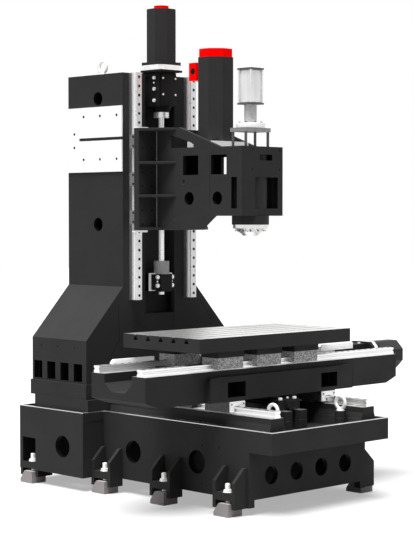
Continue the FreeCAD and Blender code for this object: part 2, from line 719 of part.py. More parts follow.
def table():
    top = Piece("table")
    half = size.table_length / 2
    left, right = size.table_place - half, size.table_place + half
    front = size.saddle_place - size.table_width / 2
    rear = size.saddle_place + size.table_width / 2
    top.pad("side", left, right, box((front, size.table_bottom), (rear, size.table_top)))
    neck, wide = size.slot_neck / 2, size.slot_wide / 2
    slots = []
    for step in (-2, -1, 0, 1, 2):
        centre = size.saddle_place + size.slot_pitch * step
        waist = size.table_top - size.slot_neck_depth
        floor = size.table_top - size.slot_depth
        slots.append([
            (centre - wide, floor), (centre + wide, floor), (centre + wide, waist), (centre + neck, waist),
            (centre + neck, size.table_top), (centre - neck, size.table_top), (centre - neck, waist),
            (centre - wide, waist),
        ])
    top.cut("side", left, right, *slots)
    pads = []
    for row in (-size.x_rail_spread, size.x_rail_spread):
        for shift in (-size.x_block_spread, ZERO, size.x_block_spread):
            across, along = size.table_place + shift, size.saddle_place + row
            pads.append(box(
                (across - size.table_pad_length / 2, along - size.table_pad_width / 2),
                (across + size.table_pad_length / 2, along + size.table_pad_width / 2),
            ))
    top.pad("top", size.saddle_top + size.block_top, size.table_bottom, *pads)


def table_nut():
    nut = Piece("table_nut")
    height = size.x_screw_height
    place = size.saddle_place
    start = size.table_place - size.nut_length / 2
    end = start + size.nut_length
    bore = disc(place, height, size.nut_bore)
    nut.pad(
        "side", start, end,
        box((place - size.nut_flange, height - size.nut_flange), (place + size.nut_flange, size.table_bottom)),
        bore,
    )


def saddle_nut():
    nut = Piece("saddle_nut")
    height = size.y_screw_height
    start = size.y_nut_place - size.nut_length / 2
    end = start + size.nut_length
    ceiling = size.trough_floor - size.saddle_wall
    bore = disc(ZERO, height, size.nut_bore)
    nut.pad(
        "front", start, end,
        box((-size.nut_flange, height - size.nut_flange), (size.nut_flange, ceiling)),
        bore,
    )


def column():
    body = Piece("column_casting")
    half, wide = size.column_width / 2, size.flare_width / 2
    outline = [
        (-wide, size.pedestal_top), (wide, size.pedestal_top), (wide, size.flare_bottom),
        (half, size.flare_top), (half, size.column_top), (-half, size.column_top),
        (-half, size.flare_top), (-wide, size.flare_bottom),
    ]
    body.pad("front", size.column_front, size.column_rear, outline)
    flange = size.flange_width / 2
    body.pad(
        "top", size.pedestal_top, size.flange_top,
        box((-flange, size.column_foot_front), (flange, size.column_rear)),
    )
    wall = size.column_wall
    body.cut(
        "front", size.column_front + wall, size.column_rear - wall,
        [
            (-wide + wall, size.pedestal_top), (wide - wall, size.pedestal_top),
            (wide - wall, size.flare_bottom - wall / 2), (half - wall, size.flare_top - wall / 2),
            (-half + wall, size.flare_top - wall / 2), (-wide + wall, size.flare_bottom - wall / 2),
        ],
    )
    back = size.column_front + size.channel_depth
    body.cut(
        "front", back + wall, size.column_rear - wall,
        box((-half + wall, size.flare_top - wall), (half - wall, size.column_top - wall)),
    )
    body.cut(
        "front", size.column_front, back,
        box((-size.channel_half, size.channel_bottom), (size.channel_half, size.column_top)),
    )
    body.pad(
        "front", back, back + wall,
        box((-half + wall, size.channel_bottom - wall), (half - wall, size.flare_top)),
    )
    body.pad(
        "top", size.channel_bottom - wall, size.channel_bottom,
        box((-half + wall, size.column_front + size.bond), (half - wall, back + wall)),
    )
    seat = size.rail_width / 2
    body.pad(
        "top", size.z_rail_bottom, size.column_top,
        *[box((centre - seat, z_seat), (centre + seat, size.column_front + size.bond))
          for centre in mirrored(size.z_rail_spread)],
    )
    holes = [disc(size.column_hole_place, height, size.column_hole)
             for height in (size.column_hole_low, size.column_hole_high)]
    body.cut("side", -half, -half + wall, *holes)
    body.cut("side", half - wall, half, *holes)
    body.cut("side", -half, -half + size.changer_hole_depth, *changer_holes())
    vents = []
    for step in (0, 1, 2, 3):
        start = size.vent_first + size.vent_pitch * step - size.vent_width / 2
        vents.append(box((start, size.vent_low), (start + size.vent_width, size.vent_high)))
    body.cut("side", -wide, -wide + wall, *vents)
    body.cut("side", wide - wall, wide, *vents)


def changer_pad():
    pad = Piece("tool_changer_pad")
    outer = size.column_width / 2
    half_slot = size.changer_slot / 2
    low, high = size.changer_slot_height - half_slot, size.changer_slot_height + half_slot
    pad.pad(
        "side", -outer - size.changer_thick, -outer,
        [
            (size.column_front, size.changer_low), (size.column_rear, size.changer_low),
            (size.column_rear, size.changer_high), (size.column_front, size.changer_high),
            (size.column_front, high), (size.changer_slot_end, high), (size.changer_slot_end, low),
            (size.column_front, low),
        ],
    )
    pad.cut("side", -outer - size.changer_thick, -outer, *changer_holes())


def changer_holes():
    """Two rows of three bolt holes and a pair behind them."""
    rows = [disc(place, height, size.changer_hole)
            for place in (size.changer_hole_front, size.changer_hole_middle, size.changer_hole_rear)
            for height in (size.changer_hole_low, size.changer_hole_high)]
    return rows + [disc(size.changer_pair, height, size.changer_hole)
                   for height in (size.changer_pair_low, size.changer_pair_high)]


def z_rails():
    rails = Piece("z_rails")
    sections = [
        across_outline(centre, z_seat, -1, rail_section()) for centre in mirrored(size.z_rail_spread)
    ]
    rails.pad("top", size.z_rail_bottom, size.column_top, *sections)


def z_blocks():
    blocks = Piece("z_blocks")
    sections = [
        across_outline(centre, z_seat, -1, block_section(size.z_block_width))
        for centre in mirrored(size.z_rail_spread)
    ]
    for step in (-1, 0, 1):
        start = size.z_block_middle + size.z_block_pitch * step - size.z_block_length / 2
        blocks.pad("top", start, start + size.z_block_length, *sections)


def z_drive():
    """The head's screw between its lower bearing and the motor bracket on top of the column."""
    place = size.z_screw_place
    back = size.column_front + size.channel_depth
    top = size.z_bracket_top + size.z_plate_thick
    bore = disc(ZERO, place, size.screw)
    screw = Piece("z_screw")
    screw.pad("top", size.z_screw_bottom, top, disc(ZERO, place, size.screw))

    half = size.z_bearing_half
    lower = Piece("z_lower_bearing")
    lower.pad("top", size.z_bearing_bottom, size.z_bearing_top, box((-half, place - half), (half, back)), bore)
    bumper = Piece("z_bumper")
    bumper.pad("top", size.z_bearing_top, size.bumper_top, disc(ZERO, place, size.bumper), bore)

    half = size.z_bracket_half
    bracket = Piece("z_motor_bracket")
    bracket.pad(
        "top", size.z_bracket_low, size.z_bracket_top,
        box((-half, size.z_bracket_front), (half, back)), bore,
    )
    half = size.z_plate_half
    bracket.pad("top", size.z_bracket_top, top, box((-half, place - half), (half, place + half)), bore)
    funnel = [
        (size.screw, size.z_ring_high), (size.z_ring, size.z_ring_high),
        (size.z_funnel, size.z_bracket_low), (size.screw, size.z_bracket_low),
    ]
    bracket.turn("front", place, (ZERO, ZERO), "V", funnel)
    ring = Piece("z_bearing_ring")
    ring.pad("top", size.z_ring_low, size.z_ring_high, disc(ZERO, place, size.z_ring), bore)

    start = top + size.adapter_thick
    end = start + size.z_motor_length
    adapter = Piece("z_motor_adapter")
    adapter.pad("top", top, start, octagon(ZERO, place, size.motor_flange, size.flange_corner))
    motor("z_motor", "top", start, size.z_motor_length, ZERO, place, size.motor)
    cap = Piece("z_motor_cap")
    cap.pad("top", end, end + size.motor_cap_height, disc(ZERO, place, size.motor_cap))


def head():
    """A hollow arm between two cheeks, on a flange that the carriages are bolted to."""
    casting = Piece("head_casting")
    half = size.arm_half
    casting.pad("side", -half, half, [
        (flange_front, size.head_bottom), (size.head_heel, size.head_bottom),
        (size.arm_heel, size.arm_bottom), (size.arm_front, size.arm_bottom),
        (size.arm_front, size.arm_top), (size.arm_slope_front, size.arm_top),
        (size.arm_slope_rear, size.head_top), (flange_front, size.head_top),
    ])
    casting.pad(
        "top", size.head_bottom, size.head_top,
        box((-size.flange_left, flange_front), (size.flange_right, flange_rear)),
    )
    wall = size.arm_wall
    inner = half - wall
    casting.cut(
        "side", -inner, inner,
        box((size.arm_front + wall, size.arm_bottom + wall), (size.arm_back, size.arm_top - wall)),
        box((size.arm_slope_front, size.arm_top), (size.arm_back, size.head_top)),
    )
    lug = size.nut_lug_half
    casting.pad(
        "top", size.nut_lug_low, size.nut_lug_high,
        box((-lug, flange_rear - size.bond), (lug, size.nut_lug_rear)),
    )
    casting.cut("top", size.nut_lug_low, size.nut_lug_high, disc(ZERO, size.z_screw_place, size.nut_body))
    head_windows(casting)
    casting.cut("top", size.arm_bottom, size.arm_top, disc(ZERO, size.spindle_place, size.cartridge))


def head_ribs():
    """Four pairs of ribs between the cheeks and the flange."""
    ribs = Piece("head_ribs")
    half, thick = size.arm_half, size.head_rib
    sides = ((-half, -size.flange_left), (half, size.flange_right))
    for low in (size.head_bottom, size.head_rib_low, size.head_rib_high, size.head_top - thick):
        for cheek, edge in sides:
            ribs.pad("top", low, low + thick, [
                (cheek, flange_front - size.head_rib_reach), (cheek, flange_front),
                (edge, flange_front), (edge, flange_front - size.head_rib_tip),
            ])


def head_windows(casting):
    """Core windows in both cheeks, and the openings and cover holes in the front wall."""
    half, wall = size.arm_half, size.arm_wall
    height = size.arm_hole_height
    upper = [
        (size.gap_front, size.gap_low), (size.gap_rear, size.gap_low), (size.gap_rear, size.gap_rear_top),
        (size.gap_middle, size.gap_middle_top), (size.gap_front, size.gap_front_top),
    ]
    for start, end in ((-half, -half + wall), (half - wall, half)):
        casting.cut(
            "side", start, end, upper,
            box((size.window_rear_end, size.window_low), (size.window_rear, size.window_high)),
            box((size.window_front_end, size.window_low), (size.window_front, size.window_high)),
            box((size.slot_front, size.slot_low), (size.slot_rear, size.slot_high)),
            disc(size.arm_hole_rear, height, size.arm_hole),
            disc(size.arm_hole_front, height, size.arm_hole),
            disc(size.drain_place, size.drain_height, size.drain),
        )
    front = size.arm_front
    casting.cut(
        "front", front, size.spindle_place,
        box((size.mouth_left, size.slot_low), (size.mouth_right, size.slot_high)),
    )
    casting.cut(
        "front", front, front + wall,
        box((size.hatch_left, size.hatch_low), (size.hatch_right, size.window_high)),
    )
    corners = [disc(across, height, size.cover_hole)
               for across in (size.front_hole_left, size.front_hole_right)
               for height in (size.front_hole_low, size.front_hole_top)]
    casting.cut("front", front, front + size.cover_hole_depth, *corners)


def motor_plate():
    """The machined plate between the cheeks that the spindle motor stands on."""
    plate = Piece("motor_plate")
    reach = size.arm_half - size.arm_wall - size.plate_gap
    plate.pad(
        "top", size.arm_top, size.motor_plate_top,
        box((-reach, size.motor_plate_front), (reach, size.motor_plate_rear)),
    )


def head_nut():
    nut = Piece("head_nut")
    place = size.z_screw_place
    flange_top = size.nut_lug_high + size.motor_flange_thick
    nut.pad(
        "top", size.nut_lug_low, size.nut_lug_high,
        disc(ZERO, place, size.nut_body), disc(ZERO, place, size.nut_bore),
    )
    nut.pad(
        "top", size.nut_lug_high, flange_top,
        disc(ZERO, place, size.nut_flange), disc(ZERO, place, size.nut_bore),
    )


def spindle():
    place = size.spindle_place
    cartridge = Piece("spindle_cartridge")
    low = size.nose_flange_low
    gap = size.running_gap
    cartridge.turn("front", place, (ZERO, ZERO), "V", [
        (size.nose + gap, size.nose_ring_low), (size.nose_ring, size.nose_ring_low), (size.nose_flange, low),
        (size.nose_flange, size.housing_bottom),
        (size.housing, size.housing_bottom), (size.housing, size.arm_bottom),
        (size.cartridge, size.arm_bottom), (size.cartridge, size.arm_top), (size.nose + gap, size.arm_top),
    ])
    rotor = Piece("spindle_rotor")
    rotor.turn("front", place, (ZERO, ZERO), "V", [
        (ZERO, size.nose_bottom), (size.nose_face, size.nose_bottom), (size.nose, size.nose_ring_low),
        (size.nose, size.arm_top), (ZERO, size.arm_top),
    ])
    rotor.groove("front", place, (ZERO, ZERO), "V", [
        (ZERO, size.nose_bottom), (size.taper_mouth, size.nose_bottom),
        (size.taper_end, size.nose_bottom + size.taper_depth), (ZERO, size.nose_bottom + size.taper_depth),
    ])
    body = Piece("spindle_motor")
    body.pad(
        "top", size.motor_plate_top, size.spindle_motor_top,
        octagon(ZERO, size.spindle_motor_place, size.spindle_motor, size.spindle_motor_corner),
    )
    cap = Piece("spindle_motor_cap")
    cap.pad(
        "top", size.spindle_motor_top, size.spindle_cap_top,
        octagon(ZERO, size.spindle_motor_place, size.spindle_cap, size.spindle_motor_corner),
    )
    terminal = Piece("terminal_box")
    rear = size.spindle_motor_place + size.spindle_motor / 2
    half = size.terminal_width / 2
    terminal.pad(
        "top", size.terminal_low, size.terminal_high,
        box((-half, rear), (half, rear + size.terminal_depth)),
    )


def release_cylinder():
    place = size.spindle_place
    posts = Piece("release_posts")
    centres = [(across, place + along)
               for across in (-size.release_post_across, size.release_post_across)
               for along in (-size.release_post_along, size.release_post_along)]
    posts.pad("top", size.arm_top, size.release_plate_low, *[disc(x, y, size.release_post) for x, y in centres])
    plate = Piece("release_plate")
    plate.pad(
        "top", size.release_plate_low, size.release_plate_high,
        box((-size.release_plate_width / 2, place - size.release_plate_depth / 2),
            (size.release_plate_width / 2, place + size.release_plate_depth / 2)),
    )
    body = Piece("release_cylinder")
    body.pad("top", size.release_plate_high, size.release_disc_high, disc(ZERO, place, size.release_disc))
    body.pad("top", size.release_disc_high, size.release_neck_high, disc(ZERO, place, size.release_neck))
    half = size.release_flange / 2
    ends = box((-half, place - half), (half, place + half))
    thick = size.release_flange_thick
    body.pad("top", size.release_neck_high, size.release_neck_high + thick, ends)
    middle = size.release_body / 2
    body.pad(
        "top", size.release_neck_high + thick, size.release_top - thick,
        box((-middle, place - middle), (middle, place + middle)),
    )
    body.pad("top", size.release_top - thick, size.release_top, ends)


def lifting_eyes():
    """Forged eye bolts: two on the posts at the front of the base and two on top of the column."""
    eyes = Piece("lifting_eyes")
    eye_place = base_front + size.eye_post_inset
    spots = [(across, eye_place, size.eye_post_top) for across in mirrored(size.eye_post_across)]
    spots += [(across, size.column_hole_place, size.column_top) for across in mirrored(size.column_eye_across)]
    for across, along, top in spots:
        eyes.pad("top", top, top + size.eye_foot_height, disc(across, along, size.eye_foot))
        centre = top + size.eye_ring + size.eye_rod
        eyes.turn("front", along, (across, centre), "H", [
            (-size.eye_rod, size.eye_ring), (-size.eye_rod / 2, size.eye_ring - size.eye_rod),
            (size.eye_rod / 2, size.eye_ring - size.eye_rod), (size.eye_rod, size.eye_ring),
            (size.eye_rod / 2, size.eye_ring + size.eye_rod), (-size.eye_rod / 2, size.eye_ring + size.eye_rod),
        ])


base_casting()
foot_brackets()
levelling_pads()
levelling_bolts()
lifting_eyes()
y_rails()
y_drive()
column()
changer_pad()
z_rails()
z_drive()
y_blocks()
saddle()
saddle_nut()
x_rails()
x_drive()
x_blocks()
table()
table_nut()
z_blocks()
head()
head_ribs()
motor_plate()
head_nut()
spindle()
release_cylinder()

doc.recompute()

for item in doc.Objects:
    bad = [word for word in item.State if word in ("Invalid", "Error")]
    if bad:
        raise RuntimeError("%s: %s" % (item.Label, ", ".join(bad)))
for piece in pieces:
    shape = piece.body.Shape
    if shape.isNull() or not shape.isValid():
        raise RuntimeError(piece.name + " is not a valid solid")

os.makedirs("parts", exist_ok=True)
for piece in pieces:
    shape = piece.body.Shape
    shape.exportStep("parts/%s.step" % piece.name)
    low = shape.BoundBox
    print("%-20s solids %d  x %.0f %.0f  y %.0f %.0f  z %.0f %.0f  litres %.1f" % (
        piece.name, len(shape.Solids), low.XMin, low.XMax, low.YMin, low.YMax, low.ZMin, low.ZMax,
        shape.Volume / 1e6))
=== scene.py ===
import math

import bmesh
import bpy
from mathutils import Matrix, Vector


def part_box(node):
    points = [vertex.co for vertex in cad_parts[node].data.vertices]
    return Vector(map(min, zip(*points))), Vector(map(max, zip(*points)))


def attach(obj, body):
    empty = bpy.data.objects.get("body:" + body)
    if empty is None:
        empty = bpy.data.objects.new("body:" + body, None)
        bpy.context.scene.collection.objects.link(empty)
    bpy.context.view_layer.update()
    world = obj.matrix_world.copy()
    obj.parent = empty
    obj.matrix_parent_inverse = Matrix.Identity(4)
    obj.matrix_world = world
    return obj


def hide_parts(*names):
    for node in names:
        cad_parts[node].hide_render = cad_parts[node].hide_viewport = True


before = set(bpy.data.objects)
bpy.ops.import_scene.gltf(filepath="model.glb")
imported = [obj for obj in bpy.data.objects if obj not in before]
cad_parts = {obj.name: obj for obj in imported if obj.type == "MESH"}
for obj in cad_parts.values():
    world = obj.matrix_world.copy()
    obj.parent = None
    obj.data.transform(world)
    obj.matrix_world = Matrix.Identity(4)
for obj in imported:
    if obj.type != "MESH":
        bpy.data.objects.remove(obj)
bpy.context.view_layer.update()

# Directions in the machine: +X along the table to the operator's right, +Y to the column, +Z up.
LEFT, RIGHT = Vector((-1, 0, 0)), Vector((1, 0, 0))
FRONT, BACK = Vector((0, -1, 0)), Vector((0, 1, 0))
UP, DOWN = Vector((0, 0, 1)), Vector((0, 0, -1))

# Sizes of the machine, in metres. Heights are over the floor.
RAIL_HALF = 0.0225
RAIL_HOLE = 0.0085
RAIL_HOLE_INSET = 0.026
RAIL_HOLE_PITCH = 0.0525
TAPPED = 0.005
BLOCK_HALF = 0.060
FOOT_REACH = 0.095
FOOT_HALF = 0.575
STEP_PLACE = 0.377
SIDE_HOLE_PLACE = -0.396
RIM_TOP = 0.456
POST_TOP = 0.510
WAY_TOP = 0.518
ARM_HALF = 0.166
ARM_INSIDE = 0.1415
NOSE_TOP = 1.5325
FLANGE_LEFT = 0.290

# How far plugs stand proud of a face, and how far the masks of paint, bare metal and painted shade reach, in
# metres.
PLUG = 0.0005
SKIN = 0.00012
CORE_SKIN = 0.0005
RIM_BAND = 0.0032
RIM_INSET = 0.006
SLOT_BAND = 0.005
TABLE_EDGE = 0.012

# Edges sharper than the first angle are rounded. Edges under the second one are shaded smooth.
ROUND_ANGLE = 40
SMOOTH_ANGLE = 32


def centre(node):
    low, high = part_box(node)
    return (low + high) / 2


spindle_axis = centre("spindle_rotor")
z_screw_axis = centre("z_screw")
y_screw_axis = centre("y_screw")
x_screw_axis = centre("x_screw")
mid_x = spindle_axis.x


def at(across, place, height):
    """A place in the machine, with across counted from its middle plane."""
    return Vector((mid_x + across, place, height))


# Selecting and finishing

def only(thing):
    bpy.ops.object.select_all(action="DESELECT")
    thing.select_set(True)
    bpy.context.view_layer.objects.active = thing
    return thing


def settle(thing):
    """Puts the object's place, turn and scale into its mesh."""
    only(thing)
    bpy.ops.object.transform_apply(location=True, rotation=True, scale=True)
    return thing


def edit(thing, mode="FACE"):
    only(thing)
    bpy.ops.object.mode_set(mode="EDIT")
    bpy.ops.mesh.select_mode(type=mode)


def leave():
    bpy.ops.object.mode_set(mode="OBJECT")


def pick_faces(thing, wanted):
    """Selects the faces whose middle and normal suit wanted(middle, normal)."""
    shape = bmesh.from_edit_mesh(thing.data)
    for face in shape.faces:
        face.select = False
    shape.select_flush(False)
    for face in shape.faces:
        if wanted(face.calc_center_median(), face.normal):
            face.select = True
    bmesh.update_edit_mesh(thing.data)


def pick_edges(thing, wanted):
    """Selects the edges whose two ends suit wanted(start, end)."""
    shape = bmesh.from_edit_mesh(thing.data)
    for face in shape.faces:
        face.select = False
    shape.select_flush(False)
    for edge in shape.edges:
        if wanted(edge.verts[0].co, edge.verts[1].co):
            edge.select = True
    bmesh.update_edit_mesh(thing.data)


def facing(direction):
    """A test for faces that look that way."""
    return lambda middle, normal: normal.dot(direction) > 0.9


def sink(thing, direction, margin, depth):
    """Insets the faces that look along direction and pushes them in by depth."""
    edit(thing)
    pick_faces(thing, facing(direction))
    bpy.ops.mesh.inset(thickness=margin, use_even_offset=True)
    bpy.ops.mesh.extrude_region_move(TRANSFORM_OT_translate={"value": direction * -depth})
    leave()
    return thing


def soften(thing, width, segments=2, angle=ROUND_ANGLE):
    """Rounds every edge sharper than the angle."""
    only(thing)
    bevel = thing.modifiers.new("round edges", "BEVEL")
    bevel.width = width
    bevel.segments = segments
    bevel.limit_method = "ANGLE"
    bevel.angle_limit = math.radians(angle)
    bevel.harden_normals = False
    bpy.ops.object.modifier_apply(modifier=bevel.name)
    return thing


def join(things):
    bpy.ops.object.select_all(action="DESELECT")
    for thing in things:
        thing.select_set(True)
    bpy.context.view_layer.objects.active = things[0]
    if len(things) > 1:
        bpy.ops.object.join()
    return things[0]


def finish(thing, name, body, material, stands_for=()):
    """Names a settled piece, gives it its finish and lets it ride on its body."""
    thing.name = name
    thing.data.name = name
    settle(thing)
    bpy.ops.object.shade_smooth_by_angle(angle=math.radians(SMOOTH_ANGLE))
    thing.data.materials.clear()
    thing.data.materials.append(material)
    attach(thing, body)
    if stands_for:
        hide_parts(*stands_for)
    return thing


def spread(pattern, places, direction=UP):
    """Copies a pattern that stands on the origin to every place, its top turned along direction."""
    turn = UP.rotation_difference(direction).to_matrix().to_4x4()
    copies = []
    for place in places:
        copy = pattern.copy()
        copy.data = pattern.data.copy()
        bpy.context.scene.collection.objects.link(copy)
        copy.matrix_world = Matrix.Translation(place) @ turn
        copies.append(copy)
    bpy.context.view_layer.update()
    for copy in copies:
        settle(copy)
    discard(pattern)
    return join(copies)


def discard(thing):
    mesh = thing.data
    bpy.data.objects.remove(thing)
    bpy.data.meshes.remove(mesh)


# Patterns, modelled standing on the origin

def cylinder(radius, height, sides, foot=0.0):
    bpy.ops.object.select_all(action="DESELECT")
    bpy.ops.mesh.primitive_cylinder_add(
        vertices=sides, radius=radius, depth=height, location=(0, 0, foot + height / 2))
    return settle(bpy.context.active_object)


def brick(low, high):
    low, high = Vector(low), Vector(high)
    bpy.ops.object.select_all(action="DESELECT")
    bpy.ops.mesh.primitive_cube_add(size=1, location=(low + high) / 2, scale=high - low)
    return settle(bpy.context.active_object)


def cap_screw(radius, height):
    """Socket head cap screw: a drum with a recess in its top."""
    screw = cylinder(radius, height, 16)
    sink(screw, UP, radius * 0.42, height * 0.55)
    return soften(screw, radius * 0.12, 2, 50)


def hexagon_head(radius, height):
    """Hexagon head with a washer face under it."""
    head = cylinder(radius, height, 6)
    edit(head)
    pick_faces(head, facing(UP))
    bpy.ops.mesh.inset(thickness=radius * 0.12)
    bpy.ops.transform.translate(value=(0, 0, height * 0.08))
    leave()
    washer = cylinder(radius * 1.12, height * 0.16, 24)
    return join([soften(head, radius * 0.05, 2), soften(washer, radius * 0.04, 1)])


def rail_plug(radius, height):
    """A plug that stands proud by height, with a sunk middle, for a counterbore or a tapped hole."""
    plug = cylinder(radius, height * 2, 16, -height)
    return sink(plug, UP, radius * 0.25, height * 0.4)


def levelling_stud(radius, height):
    """Plain stud with a turned tip and a hexagon socket in its end."""
    stud = cylinder(radius, height, 24)
    edit(stud)
    pick_faces(stud, facing(UP))
    bpy.ops.mesh.inset(thickness=radius * 0.16)
    bpy.ops.transform.translate(value=(0, 0, radius * 0.18))
    bpy.ops.mesh.inset(thickness=radius * 0.4)
    bpy.ops.mesh.extrude_region_move(TRANSFORM_OT_translate={"value": (0, 0, -radius)})
    leave()
    return soften(stud, radius * 0.05, 1)


def ring(radius, thick, sides=48, section=12):
    """A round ring lying about the origin."""
    bpy.ops.object.select_all(action="DESELECT")
    bpy.ops.mesh.primitive_torus_add(
        major_radius=radius, minor_radius=thick, major_segments=sides, minor_segments=section)
    return settle(bpy.context.active_object)


def eye_bolt(radius, thick, foot, foot_height):
    """Lifting eye: a forged ring that runs into a flared collar."""
    loop = ring(radius, thick, 56, 16)
    sunk = 0.003
    edit(loop)
    bpy.ops.mesh.select_all(action="SELECT")
    bpy.ops.transform.rotate(value=math.radians(90), orient_axis="Y", center_override=(0, 0, 0))
    bpy.ops.transform.translate(value=(0, 0, radius + thick + sunk))
    leave()
    collar = cylinder(foot, foot_height * 0.55, 32)
    edit(collar)
    pick_faces(collar, facing(UP))
    bpy.ops.mesh.inset(thickness=foot * 0.2)
    bpy.ops.mesh.extrude_region_move(TRANSFORM_OT_translate={"value": (0, 0, foot_height * 0.45)})
    bpy.ops.mesh.inset(thickness=foot * 0.2)
    bpy.ops.mesh.extrude_region_move(TRANSFORM_OT_translate={"value": (0, 0, foot_height * 0.3)})
    leave()
    return join([loop, soften(collar, foot * 0.06, 2)])


# Shader groups

def group(name, inputs, outputs):
    tree = bpy.data.node_groups.new(name, "ShaderNodeTree")
    for label, kind, value in inputs:
        socket = tree.interface.new_socket(name=label, in_out="INPUT", socket_type=kind)
        socket.default_value = value
    for label, kind in outputs:
        tree.interface.new_socket(name=label, in_out="OUTPUT", socket_type=kind)
    return tree, tree.nodes.new("NodeGroupInput"), tree.nodes.new("NodeGroupOutput")


def number_node(tree, operation, first, second=None, clamp=False):
    node = tree.nodes.new("ShaderNodeMath")
    node.operation = operation
    node.use_clamp = clamp
    for socket, value in zip(node.inputs, (first, second)):
        if value is None:
            continue
        if isinstance(value, (int, float)):
            socket.default_value = value
        else:
            tree.links.new(value, socket)
    return node.outputs[0]


def vector_node(tree, operation, first, second):
    node = tree.nodes.new("ShaderNodeVectorMath")
    node.operation = operation
    tree.links.new(first, node.inputs[0])
    tree.links.new(second, node.inputs[1])
    return node.outputs


def noise_node(tree, vector, scale, detail, roughness):
    node = tree.nodes.new("ShaderNodeTexNoise")
    node.inputs["Detail"].default_value = detail
    node.inputs["Roughness"].default_value = roughness
    tree.links.new(vector, node.inputs["Vector"])
    if isinstance(scale, (int, float)):
        node.inputs["Scale"].default_value = scale
    else:
        tree.links.new(scale, node.inputs["Scale"])
    return node.outputs["Fac"]


def range_node(tree, value, low, high, to_low=0.0, to_high=1.0):
    node = tree.nodes.new("ShaderNodeMapRange")
    tree.links.new(value, node.inputs["Value"])
    for label, number in (("From Min", low), ("From Max", high), ("To Min", to_low), ("To Max", to_high)):
        if isinstance(number, (int, float)):
            node.inputs[label].default_value = number
        else:
            tree.links.new(number, node.inputs[label])
    return node.outputs["Result"]


def make_grain_group():
    """Fine speckle, and a slow, cloudy change: two masks from 0 to 1."""
    tree, given, result = group(
        "speckle and cloud",
        [("Speckle Size", "NodeSocketFloat", 900.0), ("Cloud Size", "NodeSocketFloat", 6.0)],
        [("Speckle", "NodeSocketFloat"), ("Cloud", "NodeSocketFloat")])
    place = tree.nodes.new("ShaderNodeTexCoord").outputs["Object"]
    speckle = noise_node(tree, place, given.outputs["Speckle Size"], 2.0, 0.7)
    cloud = noise_node(tree, place, given.outputs["Cloud Size"], 4.0, 0.6)
    tree.links.new(range_node(tree, speckle, 0.3, 0.7), result.inputs["Speckle"])
    tree.links.new(range_node(tree, cloud, 0.3, 0.7), result.inputs["Cloud"])
    return tree


def make_lay_group():
    """The lay of machining: fine lines along X, Y or Z, by the size of each stretch."""
    tree, given, result = group(
        "machining lay", [("Stretch", "NodeSocketVector", (4.0, 900.0, 900.0))],
        [("Lines", "NodeSocketFloat")])
    place = tree.nodes.new("ShaderNodeTexCoord").outputs["Object"]
    scaled = vector_node(tree, "MULTIPLY", place, given.outputs["Stretch"])["Vector"]
    lines = noise_node(tree, scaled, 1.0, 2.0, 0.6)
    tree.links.new(range_node(tree, lines, 0.3, 0.7), result.inputs["Lines"])
    return tree


def make_machined_group():
    """A mask of the flat faces that look along an axis and lie between two places on it."""
    tree, given, result = group(
        "machined face",
        [("Axis", "NodeSocketVector", (0.0, 0.0, 1.0)), ("Place", "NodeSocketFloat", 0.0),
         ("Reach", "NodeSocketFloat", 0.0006)],
        [("Mask", "NodeSocketFloat")])
    texture = tree.nodes.new("ShaderNodeTexCoord")
    turn, place = [vector_node(tree, "DOT_PRODUCT", texture.outputs[output], given.outputs["Axis"])["Value"]
                   for output in ("Normal", "Object")]
    looks = number_node(tree, "GREATER_THAN", turn, 0.9)
    off = number_node(tree, "ABSOLUTE", number_node(tree, "SUBTRACT", place, given.outputs["Place"]))
    near = number_node(tree, "LESS_THAN", off, given.outputs["Reach"])
    tree.links.new(number_node(tree, "MULTIPLY", looks, near), result.inputs["Mask"])
    return tree


def make_within_group():
    """A mask of what lies inside an upright box."""
    tree, given, result = group(
        "within box",
        [("Low", "NodeSocketVector", (0.0, 0.0, 0.0)), ("High", "NodeSocketVector", (1.0, 1.0, 1.0))],
        [("Mask", "NodeSocketFloat")])
    place = tree.nodes.new("ShaderNodeTexCoord").outputs["Object"]
    room = None
    for first, second in ((place, given.outputs["Low"]), (given.outputs["High"], place)):
        parts = tree.nodes.new("ShaderNodeSeparateXYZ")
        tree.links.new(vector_node(tree, "SUBTRACT", first, second)["Vector"], parts.inputs[0])
        for part in parts.outputs:
            room = part if room is None else number_node(tree, "MINIMUM", room, part)
    tree.links.new(number_node(tree, "GREATER_THAN", room, 0.0), result.inputs["Mask"])
    return tree


grain_group = make_grain_group()
lay_group = make_lay_group()
machined_group = make_machined_group()
within_group = make_within_group()


def place_group(tree, which, **values):
    node = tree.nodes.new("ShaderNodeGroup")
    node.node_tree = which
    for label, value in values.items():
        node.inputs[label.replace("_", " ")].default_value = value
    return node


def colour_ramp(tree, factor, low, high):
    node = tree.nodes.new("ShaderNodeMix")
    node.data_type = "RGBA"
    tree.links.new(factor, node.inputs["Factor"])
    for socket, colour in ((node.inputs["A"], low), (node.inputs["B"], high)):
        if isinstance(colour, tuple):
            socket.default_value = (*colour, 1.0)
        else:
            tree.links.new(colour, socket)
    return node.outputs["Result"]


def new_material(name, metallic=0.0, specular=0.5):
    material = bpy.data.materials.new(name)
    material.use_nodes = True
    shader = material.node_tree.nodes["Principled BSDF"]
    shader.inputs["Metallic"].default_value = metallic
    shader.inputs["Specular IOR Level"].default_value = specular
    return material, material.node_tree, shader


def bump(tree, shader, height, strength, distance):
    node = tree.nodes.new("ShaderNodeBump")
    node.inputs["Strength"].default_value = strength
    node.inputs["Distance"].default_value = distance
    tree.links.new(height, node.inputs["Height"])
    tree.links.new(node.outputs["Normal"], shader.inputs["Normal"])


# Colours and finishes

CHARCOAL_DARK = (0.0275, 0.0275, 0.0278)
CHARCOAL_LIGHT = (0.040, 0.040, 0.0403)
MACHINED_LOW = (0.66, 0.66, 0.65)
MACHINED_HIGH = (0.86, 0.86, 0.85)
MACHINED_METALLIC = 0.85
# Near black for hollows and the walls of holes: painted shade.
CORE_SHADE_BLACK = (0.003, 0.003, 0.003)


